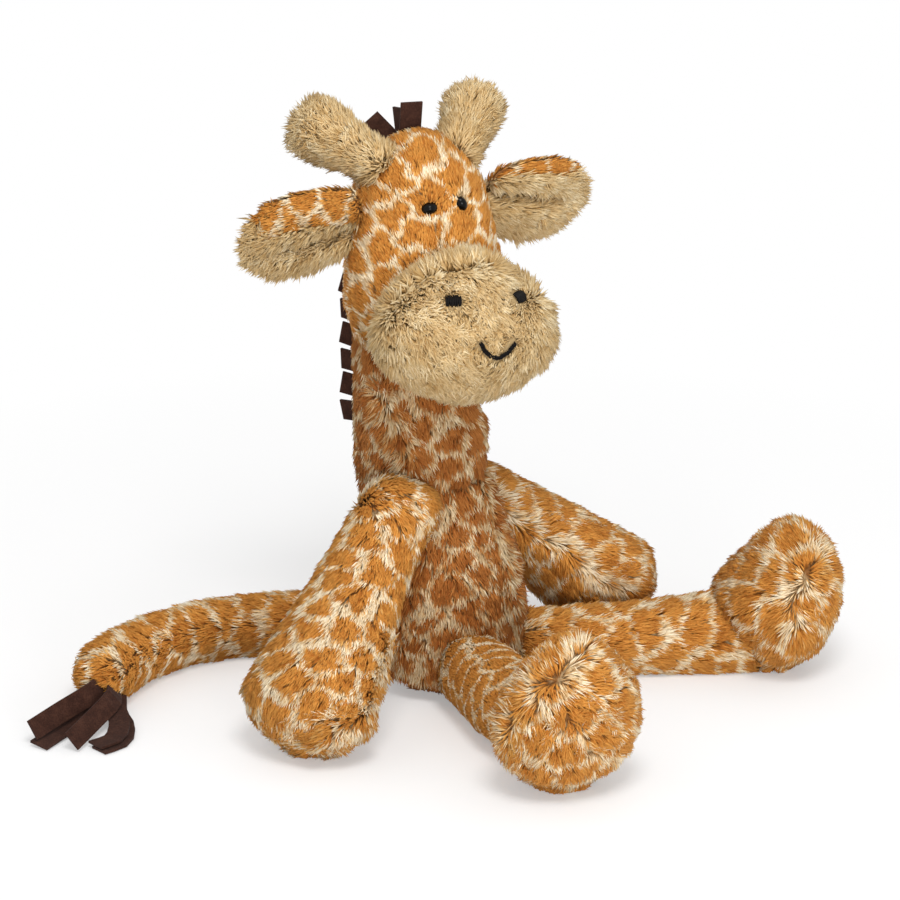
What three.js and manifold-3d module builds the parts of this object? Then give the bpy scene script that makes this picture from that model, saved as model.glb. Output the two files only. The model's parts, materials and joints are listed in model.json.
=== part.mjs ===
import * as THREE from 'three';
import { mergeVertices } from 'three/addons/utils/BufferGeometryUtils.js';
import Module from 'manifold-3d';

// A seated plush giraffe in millimetres, +Z up, facing -Y, with its own left at +X.
// The origin is the middle of the flat that it sits on.

const wasm = await Module();
wasm.setup();

// Clearances, and the distance within which two corners are one
const seamGap = 0.3;
const jointGap = 0.8;
const floorCut = 0.5;
const overrun = 1;
const weldDistance = 0.0001;

// Torso, from the seat up to the seam with the neck
const torsoWidth = 72;
const torsoDepth = 69;
const torsoHeight = 114;
const neckOffset = 17;
const chestTurn = THREE.MathUtils.degToRad(9);

// Neck, a round tube with a domed end in the head
const neckDiameter = 51;
const neckSeatRadius = 28;
const neckSeatDepth = 6;
const neckLength = 37;
const neckPivotHeight = torsoHeight - neckSeatDepth;
const neckDomeHeight = neckPivotHeight + neckLength;

// Head, an egg on the neck
const headTurn = THREE.MathUtils.degToRad(-27);
const headWidth = 69;
const headDepth = 58;
const headHeight = 102;
const headOverlap = 11;
const headBottom = neckDomeHeight - headOverlap;
const headTop = headBottom + headHeight;
const crownOffset = 4;
const chinOffset = 20;

// Muzzle, a broad rounded cushion on the front of the head
const muzzleWidth = 81;
const muzzleHeight = 63;
const muzzleDepth = 56;
const muzzleStandOff = 15;
const muzzleLift = 30;
const muzzleOffset = headDepth / 2 + muzzleStandOff;
const muzzleCentreHeight = headBottom + muzzleLift;
const muzzleTilt = THREE.MathUtils.degToRad(16);
const muzzleRoll = THREE.MathUtils.degToRad(6);

// Eyes, with a shank through the cloth and a washer behind it
const eyeDiameter = 7;
const eyeDome = 3;
const eyeFlange = 0.8;
const eyeSpacing = 15.5;
const eyeDrop = 25;
const eyeHeight = headTop - eyeDrop;
const shankDiameter = 3;
const shankLength = 11;
const washerDiameter = 11;
const washerThickness = 1.5;
const washerDepth = 4;

// Nostrils and mouth, sewn in thread
const nostrilWidth = 6.5;
const nostrilHeight = 5;
const nostrilRise = 1.6;
const nostrilSpacing = 29;
const nostrilLift = 15;
const mouthWidth = 15;
const mouthDrop = 5;
const mouthLift = -0.5;
const threadDiameter = 1.8;

// Horns
const hornLength = 37;
const hornDiameter = 24;
const hornRootRadius = 10.5;
const hornSpacing = 38;
const hornSeatOffset = 4;
const hornSeatDrop = 12;
const hornSeatHeight = headTop - hornSeatDrop;
const hornSpread = 22.6;
const hornSweep = 24.6;
const hornRise = 15.5;

// Ears, a patterned back with a lining let into its front
const earLength = 50;
const earWidth = 48;
const earThickness = 13;
const earRootHalfWidth = 17;
const earRootRadius = 6;
const earSeatOffset = 8;
const earSeatDrop = 31.5;
const earSeatInset = 4.5;
const earSeatHeight = headTop - earSeatDrop;
const earSeatSpread = headWidth / 2 - earSeatInset;
const earSweep = THREE.MathUtils.degToRad(-8);
const earDroop = THREE.MathUtils.degToRad(10);
const earFacing = THREE.MathUtils.degToRad(24);
const liningLength = 44;
const liningWidth = 33;
const liningThickness = 9;
const liningRise = 3.6;

// Arms
const shoulderInset = 3;
const shoulderDrop = 36;
const shoulderSpacing = torsoWidth - 2 * shoulderInset;
const shoulderHeight = torsoHeight - shoulderDrop;
const shoulderOffset = 10;
const shoulderTilt = 3.5;
const armRootRadius = 14;
const armWidth = 41;
const armDepth = 36;
const rightPaw = { out: 93, front: -1 };
const leftPaw = { out: 77, front: 26 };
const pawReach = 22;

// Legs and feet, each leg with its own length as it lies and its own turn outwards
const hipStandOff = 1;
const hipReach = torsoWidth / 2 + hipStandOff;
const rightLeg = { sign: -1, length: 83.4, turn: THREE.MathUtils.degToRad(31.8) };
const leftLeg = { sign: 1, length: 107.2, turn: THREE.MathUtils.degToRad(40.7) };
const legRootRadius = 15;
const legWidth = 33;
const legDepth = 31;
const footWidth = 62;
const footHeight = 66;
const footLength = 47;
const footTuck = 13;

// Tail and its tassel. It starts behind the torso and curls round to the right.
const tailStandOff = 1.5;
const tailSpread = 116;
const tailReach = 67;
const tailRootRadius = 15;
const tailDiameter = 28;
const tassel = { width: 8.5, thickness: 1, length: 36 };

// Suede tabs in the mane seam
const tab = { width: 9, thickness: 1, height: 11, root: 4 };
const neckTabPitch = 10.6;
const neckTabRise = 17;
const neckTabTop = neckDomeHeight + neckTabRise;

// Pellet bag in the seat, and the closing seam behind it
const pelletBag = { width: 34, depth: 34, height: 20, lift: 7 };
const closingSeam = { offset: 13, gap: 1.5, height: 34, lift: 14 };

// Joint ranges in degrees, the same as the toy's own slack
const ranges = {
  neck: [-12, 20],
  head: [-30, 30],
  arm: [0, 80],
  leg: [0, 35],
  ear: [-20, 20],
  horn: [-10, 10],
  tail: [-40, 15],
};

// Materials
const materials = {
  patchFur: new THREE.MeshStandardMaterial({ color: '#c8802f', roughness: 0.95, metalness: 0 }),
  beigeFur: new THREE.MeshStandardMaterial({ color: '#cdb183', roughness: 0.95, metalness: 0 }),
  suede: new THREE.MeshStandardMaterial({ color: '#40261e', roughness: 0.9, metalness: 0 }),
  eyePlastic: new THREE.MeshStandardMaterial({ color: '#0b0908', roughness: 0.12, metalness: 0 }),
  washerPlastic: new THREE.MeshStandardMaterial({ color: '#e8e6e0', roughness: 0.5, metalness: 0 }),
  thread: new THREE.MeshStandardMaterial({ color: '#15110f', roughness: 0.6, metalness: 0 }),
  bagCloth: new THREE.MeshStandardMaterial({ color: '#d9d4c8', roughness: 0.9, metalness: 0 }),
};

const upward = new THREE.Vector3(0, 0, 1);
const forward = new THREE.Vector3(0, -1, 0);
const leftward = new THREE.Vector3(1, 0, 0);

// Solids and meshes
function toSolid(geometry) {
  const bare = geometry.clone();
  for (const name of Object.keys(bare.attributes)) {
    if (name !== 'position') bare.deleteAttribute(name);
  }
  const merged = mergeVertices(bare, weldDistance);
  return new wasm.Manifold(
    new wasm.Mesh({
      numProp: 3,
      vertProperties: new Float32Array(merged.attributes.position.array),
      triVerts: new Uint32Array(merged.index.array),
    }),
  );
}

function toGeometry(solid) {
  const mesh = solid.getMesh();
  const geometry = new THREE.BufferGeometry();
  const places = new Float32Array(mesh.numVert * 3);
  for (let i = 0; i < mesh.numVert; i++) {
    for (let k = 0; k < 3; k++) places[3 * i + k] = mesh.vertProperties[mesh.numProp * i + k];
  }
  geometry.setAttribute('position', new THREE.BufferAttribute(places, 3));
  geometry.setIndex(new THREE.BufferAttribute(new Uint32Array(mesh.triVerts), 1));
  geometry.computeVertexNormals();
  return geometry;
}

function named(name, solid, material) {
  const mesh = new THREE.Mesh(toGeometry(solid), material);
  mesh.name = name;
  return mesh;
}

function placed(geometry, matrix) {
  return toSolid(geometry.clone().applyMatrix4(matrix));
}

function frameAt(place, x, y, z) {
  return new THREE.Matrix4().makeBasis(x, y, z).setPosition(place);
}

// A right-handed frame whose z runs along a direction and whose x lies near a given side
function framedAlong(place, direction, side) {
  const z = direction.clone().normalize();
  const y = new THREE.Vector3().crossVectors(z, side).normalize();
  const x = new THREE.Vector3().crossVectors(y, z);
  return frameAt(place, x, y, z);
}

// Value of a table of [share along, value share] pairs, eased between its rows
function shareAt(table, t) {
  let row = 0;
  while (row < table.length - 2 && t > table[row + 1][0]) row++;
  const [t0, v0] = table[row];
  const [t1, v1] = table[row + 1];
  const k = THREE.MathUtils.clamp((t - t0) / (t1 - t0), 0, 1);
  const slope = (i) => {
    const a = table[Math.max(i - 1, 0)];
    const b = table[Math.min(i + 1, table.length - 1)];
    return (b[1] - a[1]) / (b[0] - a[0]);
  };
  const span = t1 - t0;
  const [m0, m1] = [slope(row) * span, slope(row + 1) * span];
  const k2 = k * k;
  const k3 = k2 * k;
  return (2 * k3 - 3 * k2 + 1) * v0 + (k3 - 2 * k2 + k) * m0 + (3 * k2 - 2 * k3) * v1 + (k3 - k2) * m1;
}

// A closed skin through rings of points. An end ring of one point is a pole, and a longer one is
// closed by a flat cap.
function skinned(rings) {
  const sides = rings[1].length;
  const places = [];
  const faces = [];
  const start = [];
  for (const ring of rings) {
    start.push(places.length / 3);
    for (const p of ring) places.push(p.x, p.y, p.z);
  }
  const last = rings.length - 1;
  for (let r = 0; r < last; r++) {
    const [a, b] = [start[r], start[r + 1]];
    for (let k = 0; k < sides; k++) {
      const n = (k + 1) % sides;
      if (rings[r].length === 1) faces.push(a, b + n, b + k);
      else if (rings[r + 1].length === 1) faces.push(a + k, a + n, b);
      else faces.push(a + k, a + n, b + n, a + k, b + n, b + k);
    }
  }
  for (let k = 1; k < sides - 1; k++) {
    if (rings[0].length > 1) faces.push(start[0], start[0] + k + 1, start[0] + k);
    if (rings[last].length > 1) faces.push(start[last], start[last] + k, start[last] + k + 1);
  }
  const geometry = new THREE.BufferGeometry();
  geometry.setAttribute('position', new THREE.BufferAttribute(new Float32Array(places), 3));
  geometry.setIndex(faces);
  return geometry;
}

// An oval ring about a place, with the given half sizes along x and y
function oval(place, x, y, halfX, halfY, sides) {
  const ring = [];
  for (let k = 0; k < sides; k++) {
    const angle = (2 * Math.PI * k) / sides;
    const point = place.clone();
    point.addScaledVector(x, halfX * Math.cos(angle));
    point.addScaledVector(y, halfY * Math.sin(angle));
    ring.push(point);
  }
  return ring;
}

// A stuffed form that swells and tapers along a path. widths and depths are tables of shares of
// width and depth along it, and the ends are rounded over a share of its length.
function stuffedForm({ path, side, width, depth, widths, depths, startRound, endRound, rings, sides, grow = 0 }) {
  const loops = [];
  for (let i = 0; i <= rings; i++) {
    const t = (1 - Math.cos((Math.PI * i) / rings)) / 2;
    const place = path.getPointAt(t);
    const along = path.getTangentAt(t);
    const y = new THREE.Vector3().crossVectors(along, side).normalize();
    const x = new THREE.Vector3().crossVectors(y, along);
    if (i === 0 || i === rings) {
      loops.push([place.addScaledVector(along, i === 0 ? -grow : grow)]);
      continue;
    }
    const s = Math.max(0, 1 - t / startRound);
    const e = Math.max(0, 1 - (1 - t) / endRound);
    const round = Math.sqrt(1 - s * s) * Math.sqrt(1 - e * e);
    const halfX = (width / 2) * shareAt(widths, t) * round + grow;
    const halfY = (depth / 2) * shareAt(depths, t) * round + grow;
    loops.push(oval(place, x, y, halfX, halfY, sides));
  }
  return toSolid(skinned(loops));
}

// The round hollow that a hinged piece's seat turns in: an oval ball about the hinge along the
// frame's x, drawn round the outside of the seat so that no facet cuts into it
function seatBall(frame, halfWidth, radius, grow = 0) {
  const round = 12;
  const steps = 8;
  const outside = 1 / Math.cos(Math.PI / round) / Math.cos(Math.PI / steps / 2);
  const ball = new THREE.SphereGeometry(1, round, steps).rotateZ(Math.PI / 2);
  const reach = (radius + grow) * outside;
  ball.scale((halfWidth + grow) * outside, reach, reach);
  return placed(ball, frame);
}

// A stuffed limb that starts in a seat ball. frame has its x along the hinge and its z along the
// limb's first stretch. path leads on from the seat; tables are as in stuffedForm.
function stuffedLimb({ frame, rootHalf, rootRadius, path, width, depth, widths, depths, endRound, rings, sides, grow = 0 }) {
  const x = new THREE.Vector3();
  const y = new THREE.Vector3();
  const z = new THREE.Vector3();
  frame.extractBasis(x, y, z);
  const seat = new THREE.Vector3().setFromMatrixPosition(frame);
  const loops = [[seat.clone().addScaledVector(z, -rootRadius - grow)]];
  const rootRings = 3;
  for (let i = 1; i <= rootRings; i++) {
    const angle = (i / (rootRings + 1)) * (Math.PI / 2);
    const centre = seat.clone().addScaledVector(z, -(rootRadius + grow) * Math.cos(angle));
    const share = Math.sin(angle);
    loops.push(oval(centre, x, y, (rootHalf + grow) * share, (rootRadius + grow) * share, sides));
  }
  for (let i = 0; i <= rings; i++) {
    const t = Math.sin((Math.PI * i) / rings / 2);
    const place = path.getPointAt(t);
    const along = path.getTangentAt(t);
    const down = new THREE.Vector3().crossVectors(along, x).normalize();
    const across = new THREE.Vector3().crossVectors(down, along);
    if (i === rings) {
      loops.push([place.addScaledVector(along, grow)]);
      continue;
    }
    const e = Math.max(0, 1 - (1 - t) / endRound);
    const round = Math.sqrt(1 - e * e);
    const halfX = (width / 2) * shareAt(widths, t) * round + grow;
    const halfY = (depth / 2) * shareAt(depths, t) * round + grow;
    loops.push(oval(place, across, down, halfX, halfY, sides));
  }
  return toSolid(skinned(loops));
}

// The largest box under the floor, which cuts a resting form flat
function aboveFloor(solid) {
  const box = solid.boundingBox();
  const reach = Math.max(...box.max.map(Math.abs), ...box.min.map(Math.abs)) + overrun;
  const under = new THREE.BoxGeometry(2 * reach, 2 * reach, reach).translate(0, 0, -reach / 2);
  return solid.subtract(toSolid(under));
}

// A solid turned about a hinge
function turned(solid, place, axis, angle) {
  const turn = new THREE.Matrix4().makeRotationAxis(axis, angle);
  const there = new THREE.Matrix4().makeTranslation(place.x, place.y, place.z);
  const back = new THREE.Matrix4().makeTranslation(-place.x, -place.y, -place.z);
  return solid.transform(there.multiply(turn).multiply(back).elements);
}

// What is left of a moving piece once it clears a still one over its whole range
function clearOf(moving, still, place, axis, range, steps = 2) {
  let result = moving;
  for (let i = 0; i <= steps; i++) {
    const angle = THREE.MathUtils.degToRad(THREE.MathUtils.lerp(range[0], range[1], i / steps));
    result = result.subtract(turned(still, place, axis, -angle));
  }
  return largestPiece(result);
}

// Only the main body of a solid, without slivers that a cut left loose
function largestPiece(solid) {
  const bodies = solid.decompose();
  return bodies.reduce((best, body) => (body.volume() > best.volume() ? body : best));
}

// Where a ray from inside first leaves a form, with the outward normal there
function skinPoint(solid, from, direction) {
  const mesh = new THREE.Mesh(toGeometry(solid), new THREE.MeshBasicMaterial({ side: THREE.DoubleSide }));
  mesh.updateMatrixWorld();
  const hits = new THREE.Raycaster(from, direction.clone().normalize()).intersectObject(mesh);
  const last = hits[hits.length - 1];
  return { place: last.point, normal: last.face.normal.clone() };
}

// Torso
const torsoShares = [[0, 0.86], [0.12, 0.95], [0.26, 1], [0.42, 0.98], [0.6, 0.87], [0.78, 0.76], [1, 0.72]];
const leanShares = [[0, 0], [0.25, 0.04], [0.5, 0.28], [0.75, 0.72], [1, 1]];
const torsoStartRound = 0.1;
const torsoEndRound = 0.06;

function torsoForm(grow) {
  const points = leanShares.map(
    ([height, lean]) =>
      new THREE.Vector3(0, neckOffset * lean, torsoHeight * height - floorCut * (1 - height)),
  );
  return stuffedForm({
    path: new THREE.CatmullRomCurve3(points),
    side: leftward,
    width: torsoWidth,
    depth: torsoDepth,
    widths: torsoShares,
    depths: torsoShares,
    startRound: torsoStartRound,
    endRound: torsoEndRound,
    rings: 11,
    sides: 14,
    grow,
  });
}

const neckPivot = new THREE.Vector3(0, neckOffset, neckPivotHeight);
const neckFrame = frameAt(neckPivot, leftward, forward.clone().negate(), upward);

// Neck: a dome in the torso's bowl, a round tube and a dome in the head. A hollow that it turns in
// is widened so that its flats clear the neck's corners.
const neckSides = 16;
const neckHollowShare = 1 / Math.cos(Math.PI / neckSides);

function neckForm(grow, widen = 1) {
  const radius = neckDiameter / 2;
  const profile = [new THREE.Vector2(0, -neckSeatRadius - grow)];
  const seatSteps = 4;
  const seatShare = 0.5;
  for (let i = 1; i <= seatSteps; i++) {
    const angle = (i / seatSteps) * Math.acos(seatShare);
    const reach = neckSeatRadius + grow;
    profile.push(new THREE.Vector2(reach * Math.sin(angle), -reach * Math.cos(angle)));
  }
  profile.push(new THREE.Vector2(radius + grow, 0));
  const domeSteps = 4;
  for (let i = 0; i < domeSteps; i++) {
    const angle = (i / domeSteps) * (Math.PI / 2);
    profile.push(
      new THREE.Vector2(
        (radius + grow) * Math.cos(angle),
        neckDomeHeight - neckPivotHeight + (radius + grow) * Math.sin(angle),
      ),
    );
  }
  profile.push(new THREE.Vector2(0, neckDomeHeight - neckPivotHeight + radius + grow));
  for (const point of profile) point.x *= widen;
  const lathe = new THREE.LatheGeometry(profile, neckSides).rotateX(Math.PI / 2);
  return placed(lathe, new THREE.Matrix4().makeTranslation(0, neckOffset, neckPivotHeight));
}

// Head frame: the origin is on the neck's axis at the floor, and it faces -Y before its turn
const headWidthShares = [[0, 0.7], [0.2, 0.82], [0.4, 0.9], [0.6, 1], [0.8, 0.97], [1, 0.7]];
const headDepthShares = [[0, 0.82], [0.2, 0.92], [0.4, 0.94], [0.6, 1.04], [0.8, 1.1], [1, 0.9]];
const headBendShares = [[0, 0], [0.3, 0.08], [0.6, 0.35], [1, 1]];
const headStartRound = 0.3;
const headEndRound = 0.32;

function headForm(grow) {
  const points = headBendShares.map(
    ([down, bend]) =>
      new THREE.Vector3(
        0,
        -THREE.MathUtils.lerp(crownOffset, chinOffset, bend),
        THREE.MathUtils.lerp(headTop, headBottom, down),
      ),
  );
  return stuffedForm({
    path: new THREE.CatmullRomCurve3(points),
    side: leftward,
    width: headWidth,
    depth: headDepth,
    widths: headWidthShares,
    depths: headDepthShares,
    startRound: headStartRound,
    endRound: headEndRound,
    rings: 10,
    sides: 14,
    grow,
  });
}

const muzzleWidthShares = [[0, 0.7], [0.3, 0.89], [0.55, 1], [0.8, 0.99], [1, 0.82]];
const muzzleDepthShares = [[0, 0.66], [0.25, 0.84], [0.5, 1], [0.75, 1.06], [1, 0.92]];
const muzzleRound = 0.46;

const muzzleMiddle = new THREE.Vector3(0, -muzzleOffset, muzzleCentreHeight);
const muzzleSide = leftward.clone().applyAxisAngle(forward, -muzzleRoll);
const muzzleUp = upward.clone().applyAxisAngle(forward, -muzzleRoll);

function muzzleForm(grow) {
  const tilt = muzzleUp.clone().applyAxisAngle(muzzleSide, -muzzleTilt);
  const top = muzzleMiddle.clone().addScaledVector(tilt, muzzleHeight / 2);
  const bottom = muzzleMiddle.clone().addScaledVector(tilt, -muzzleHeight / 2);
  return stuffedForm({
    path: new THREE.LineCurve3(top, bottom),
    side: muzzleSide,
    width: muzzleWidth,
    depth: muzzleDepth,
    widths: muzzleWidthShares,
    depths: muzzleDepthShares,
    startRound: muzzleRound,
    endRound: muzzleRound,
    rings: 9,
    sides: 16,
    grow,
  });
}

// Where a stitch on the muzzle lies, from its place across and above the muzzle's middle
function onMuzzle(muzzle, across, lift) {
  const inside = muzzleMiddle.clone().addScaledVector(muzzleSide, across).addScaledVector(muzzleUp, lift);
  return skinPoint(muzzle, inside, forward);
}

const headAxis = new THREE.Matrix4().makeTranslation(0, -neckOffset, 0);
const neckInHead = (grow) => neckForm(grow, neckHollowShare).transform(headAxis.elements);

// Horns
const hornWidthShares = [[0, 0.84], [0.3, 0.86], [0.65, 1], [1, 0.95]];
const hornEndRound = 0.34;

function hornFrame(sign) {
  const seat = new THREE.Vector3((sign * hornSpacing) / 2, -hornSeatOffset, hornSeatHeight);
  const lean = new THREE.Vector3(sign * hornSpread, hornSweep, hornRise);
  return framedAlong(seat, lean, new THREE.Vector3(sign * hornSweep, -hornSpread, 0));
}

function hornForm(sign, grow) {
  const frame = hornFrame(sign);
  const z = new THREE.Vector3().setFromMatrixColumn(frame, 2);
  const seat = new THREE.Vector3().setFromMatrixPosition(frame);
  return stuffedLimb({
    frame,
    rootHalf: hornRootRadius,
    rootRadius: hornRootRadius,
    path: new THREE.LineCurve3(seat, seat.clone().addScaledVector(z, hornLength)),
    width: hornDiameter,
    depth: hornDiameter,
    widths: hornWidthShares,
    depths: hornWidthShares,
    endRound: hornEndRound,
    rings: 5,
    sides: 10,
    grow,
  });
}

// Ears
const earWidthShares = [[0, 0.74], [0.25, 0.92], [0.55, 1], [0.8, 0.93], [1, 0.72]];
const earDepthShares = [[0, 0.9], [0.3, 1], [0.7, 0.95], [1, 0.8]];
const liningWidthShares = [[0, 0.66], [0.3, 0.95], [0.6, 1], [1, 0.75]];
const earEndRound = 0.4;
const liningStartShare = 0.16;
const liningStartRound = 0.3;
const liningEndRound = 0.4;

function earFrame(sign) {
  const seat = new THREE.Vector3(sign * earSeatSpread, -earSeatOffset, earSeatHeight);
  const out = new THREE.Vector3(
    sign * Math.cos(earSweep) * Math.cos(earDroop),
    -Math.sin(earSweep) * Math.cos(earDroop),
    -Math.sin(earDroop),
  );
  const across = new THREE.Vector3(0, -Math.sin(earFacing), Math.cos(earFacing));
  return framedAlong(seat, out, across);
}

// The way that an ear's opening faces
function earFront(sign) {
  const frame = earFrame(sign);
  const y = new THREE.Vector3().setFromMatrixColumn(frame, 1);
  return y.y < 0 ? y : y.negate();
}

function earForm(sign, grow) {
  const frame = earFrame(sign);
  const z = new THREE.Vector3().setFromMatrixColumn(frame, 2);
  const seat = new THREE.Vector3().setFromMatrixPosition(frame);
  return stuffedLimb({
    frame,
    rootHalf: earRootHalfWidth,
    rootRadius: earRootRadius,
    path: new THREE.LineCurve3(seat, seat.clone().addScaledVector(z, earLength)),
    width: earWidth,
    depth: earThickness,
    widths: earWidthShares,
    depths: earDepthShares,
    endRound: earEndRound,
    rings: 6,
    sides: 10,
    grow,
  });
}

function liningForm(sign, grow) {
  const frame = earFrame(sign);
  const x = new THREE.Vector3().setFromMatrixColumn(frame, 0);
  const z = new THREE.Vector3().setFromMatrixColumn(frame, 2);
  const front = earFront(sign);
  const start = new THREE.Vector3()
    .setFromMatrixPosition(frame)
    .addScaledVector(z, earLength * liningStartShare)
    .addScaledVector(front, liningRise);
  const end = start.clone().addScaledVector(z, liningLength * (1 - liningStartShare));
  return stuffedForm({
    path: new THREE.LineCurve3(start, end),
    side: x,
    width: liningWidth,
    depth: liningThickness,
    widths: liningWidthShares,
    depths: liningWidthShares,
    startRound: liningStartRound,
    endRound: liningEndRound,
    rings: 6,
    sides: 10,
    grow,
  });
}

// Arms
const armWidthShares = [[0, 0.68], [0.22, 0.88], [0.45, 1.05], [0.7, 1.36], [0.88, 1.5], [1, 1.4]];
const armDepthShares = [[0, 0.77], [0.22, 0.92], [0.45, 1.05], [0.7, 1.3], [0.88, 1.42], [1, 1.3]];
const armEndRound = 0.2;

// The arm hangs outwards from its seat until its paw presses on the floor
function armLine(sign, pawHeight) {
  const across = new THREE.Vector3((sign * shoulderSpacing) / 2, 0, 0).applyAxisAngle(upward, chestTurn);
  const seat = across.add(new THREE.Vector3(0, shoulderOffset, shoulderHeight - sign * shoulderTilt));
  const { out, front } = sign < 0 ? rightPaw : leftPaw;
  const paw = new THREE.Vector3(sign * out, -front, pawHeight);
  const along = paw.clone().sub(seat).normalize();
  const frame = framedAlong(seat, along, forward.clone().multiplyScalar(sign));
  return { seat, frame, tip: paw.addScaledVector(along, pawReach) };
}

function armAt(sign, pawHeight, grow) {
  const { seat, frame, tip } = armLine(sign, pawHeight);
  return stuffedLimb({
    frame,
    rootHalf: armRootRadius,
    rootRadius: armRootRadius,
    path: new THREE.LineCurve3(seat, tip),
    width: armWidth,
    depth: armDepth,
    widths: armWidthShares,
    depths: armDepthShares,
    endRound: armEndRound,
    rings: 8,
    sides: 12,
    grow,
  });
}

// The height of a paw's middle at which its lowest point is just under the floor
function pawRestHeight(sign) {
  let height = armWidth / 2;
  const tries = 4;
  for (let i = 0; i < tries; i++) height -= armAt(sign, height, 0).boundingBox().min[2] + floorCut;
  return height;
}

// Legs, lying on the floor, each with a big upright foot
const legWidthShares = [[0, 0.88], [0.3, 0.92], [0.6, 0.96], [0.85, 1.08], [1, 1.1]];
const legDepthShares = [[0, 0.95], [0.3, 0.96], [0.6, 1], [0.85, 1.08], [1, 1.1]];
const legEndRound = 0.12;
const footWidthShares = [[0, 0.7], [0.25, 0.9], [0.5, 1], [0.75, 0.98], [1, 0.8]];
const footLengthShares = [[0, 0.8], [0.25, 0.95], [0.5, 1], [0.75, 0.94], [1, 0.8]];
const footRound = 0.42;

function legLine({ sign, length, turn }) {
  const along = forward.clone().applyAxisAngle(upward, sign * turn);
  const height = legDepth / 2 - floorCut;
  const seat = along.clone().multiplyScalar(hipReach).setZ(height);
  const foot = along.clone().multiplyScalar(hipReach + length);
  const hinge = new THREE.Vector3().crossVectors(along, upward);
  return { along, seat, foot, height, hinge, frame: framedAlong(seat, along, hinge) };
}

// The flat-sided space that a leg sweeps through as it is raised
function legSwing(leg) {
  const { foot, seat, frame } = legLine(leg);
  const half = (legWidth / 2) * Math.max(...legWidthShares.map(([, share]) => share)) + seamGap;
  const length = foot.distanceTo(seat);
  const rise = legDepth / 2;
  return placed(new THREE.BoxGeometry(2 * half, 2 * rise, length).translate(0, 0, length / 2), frame);
}

function legForm(leg, grow) {
  const { seat, foot, height, frame } = legLine(leg);
  return stuffedLimb({
    frame,
    rootHalf: legRootRadius,
    rootRadius: legRootRadius,
    path: new THREE.LineCurve3(seat, foot.clone().setZ(height)),
    width: legWidth,
    depth: legDepth,
    widths: legWidthShares,
    depths: legDepthShares,
    endRound: legEndRound,
    rings: 6,
    sides: 12,
    grow,
  });
}

function footForm(leg, grow) {
  const { along, foot, hinge } = legLine(leg);
  const toe = foot.clone().setZ(footHeight);
  const middle = foot.clone().setZ(footHeight / 2);
  const heel = foot.clone().setZ(-floorCut).addScaledVector(along, -footTuck);
  return stuffedForm({
    path: new THREE.CatmullRomCurve3([toe, middle, heel]),
    side: hinge,
    width: footWidth,
    depth: footLength,
    widths: footWidthShares,
    depths: footLengthShares,
    startRound: footRound,
    endRound: footRound,
    rings: 8,
    sides: 14,
    grow,
  });
}

// Tail, a tube that curls round behind the toy on the floor. Each row is a share of its spread to
// the right and of its reach backwards.
const tailRunShares = [[0.03, 0], [0.1, 0.36], [0.22, 0.66], [0.41, 0.9], [0.66, 1], [0.9, 0.94], [1, 0.85]];
const tailShares = [[0, 1.1], [0.15, 1.04], [0.5, 0.94], [0.8, 0.97], [1, 1]];
const tailEndRound = 0.1;

function tailLine() {
  const height = tailRootRadius - floorCut;
  const endHeight = tailDiameter / 2 - floorCut;
  const start = torsoDepth / 2 + tailStandOff;
  const points = tailRunShares.map(([spread, reach], i) => {
    const rise = THREE.MathUtils.lerp(height, endHeight, i / (tailRunShares.length - 1));
    return new THREE.Vector3(-tailSpread * spread, start + tailReach * reach, rise);
  });
  const seat = points[0];
  const along = points[1].clone().sub(seat).setZ(0).normalize();
  return { points, seat, frame: framedAlong(seat, along, upward) };
}

function tailForm(grow) {
  const { points, frame } = tailLine();
  return stuffedLimb({
    frame,
    rootHalf: tailRootRadius,
    rootRadius: tailRootRadius,
    path: new THREE.CatmullRomCurve3(points),
    width: tailDiameter,
    depth: tailDiameter,
    widths: tailShares,
    depths: tailShares,
    endRound: tailEndRound,
    rings: 11,
    sides: 10,
    grow,
  });
}

// An oblong ring about a place, with the given half sizes along x and y
function oblong(place, x, y, halfX, halfY) {
  const corners = [[1, 1], [-1, 1], [-1, -1], [1, -1]];
  return corners.map(([a, b]) => place.clone().addScaledVector(x, a * halfX).addScaledVector(y, b * halfY));
}

// How each tassel strip runs out of the tail's end, in shares of its length: to the side, out of the
// tail and up from the floor. A strip rolls about its run, in degrees.
const tasselRunShares = [
  [[-0.03, -0.22, 0.36], [0, 0.03, 0.35], [0.29, 0.44, 0.26], [0.54, 0.88, 0.2]],
  [[0, -0.22, 0.225], [0, 0.03, 0.198], [0.22, 0.42, 0.085], [0.46, 0.94, 0.047]],
  [[-0.14, -0.22, 0.29], [-0.2, 0.03, 0.272], [-0.07, 0.5, 0.195], [0.075, 0.96, 0.128]],
  [[-0.17, -0.22, 0.172], [-0.22, 0.03, 0.128], [-0.33, 0.36, 0.097], [-0.34, 0.68, 0.069], [-0.17, 0.89, 0.067]],
  [[-0.17, -0.22, 0.122], [-0.23, 0.03, 0.083], [-0.38, 0.33, 0.055], [-0.41, 0.69, 0.027], [-0.22, 0.93, 0.025]],
];
const tasselRolls = [-60, -10, -52, 0, 0];

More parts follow.
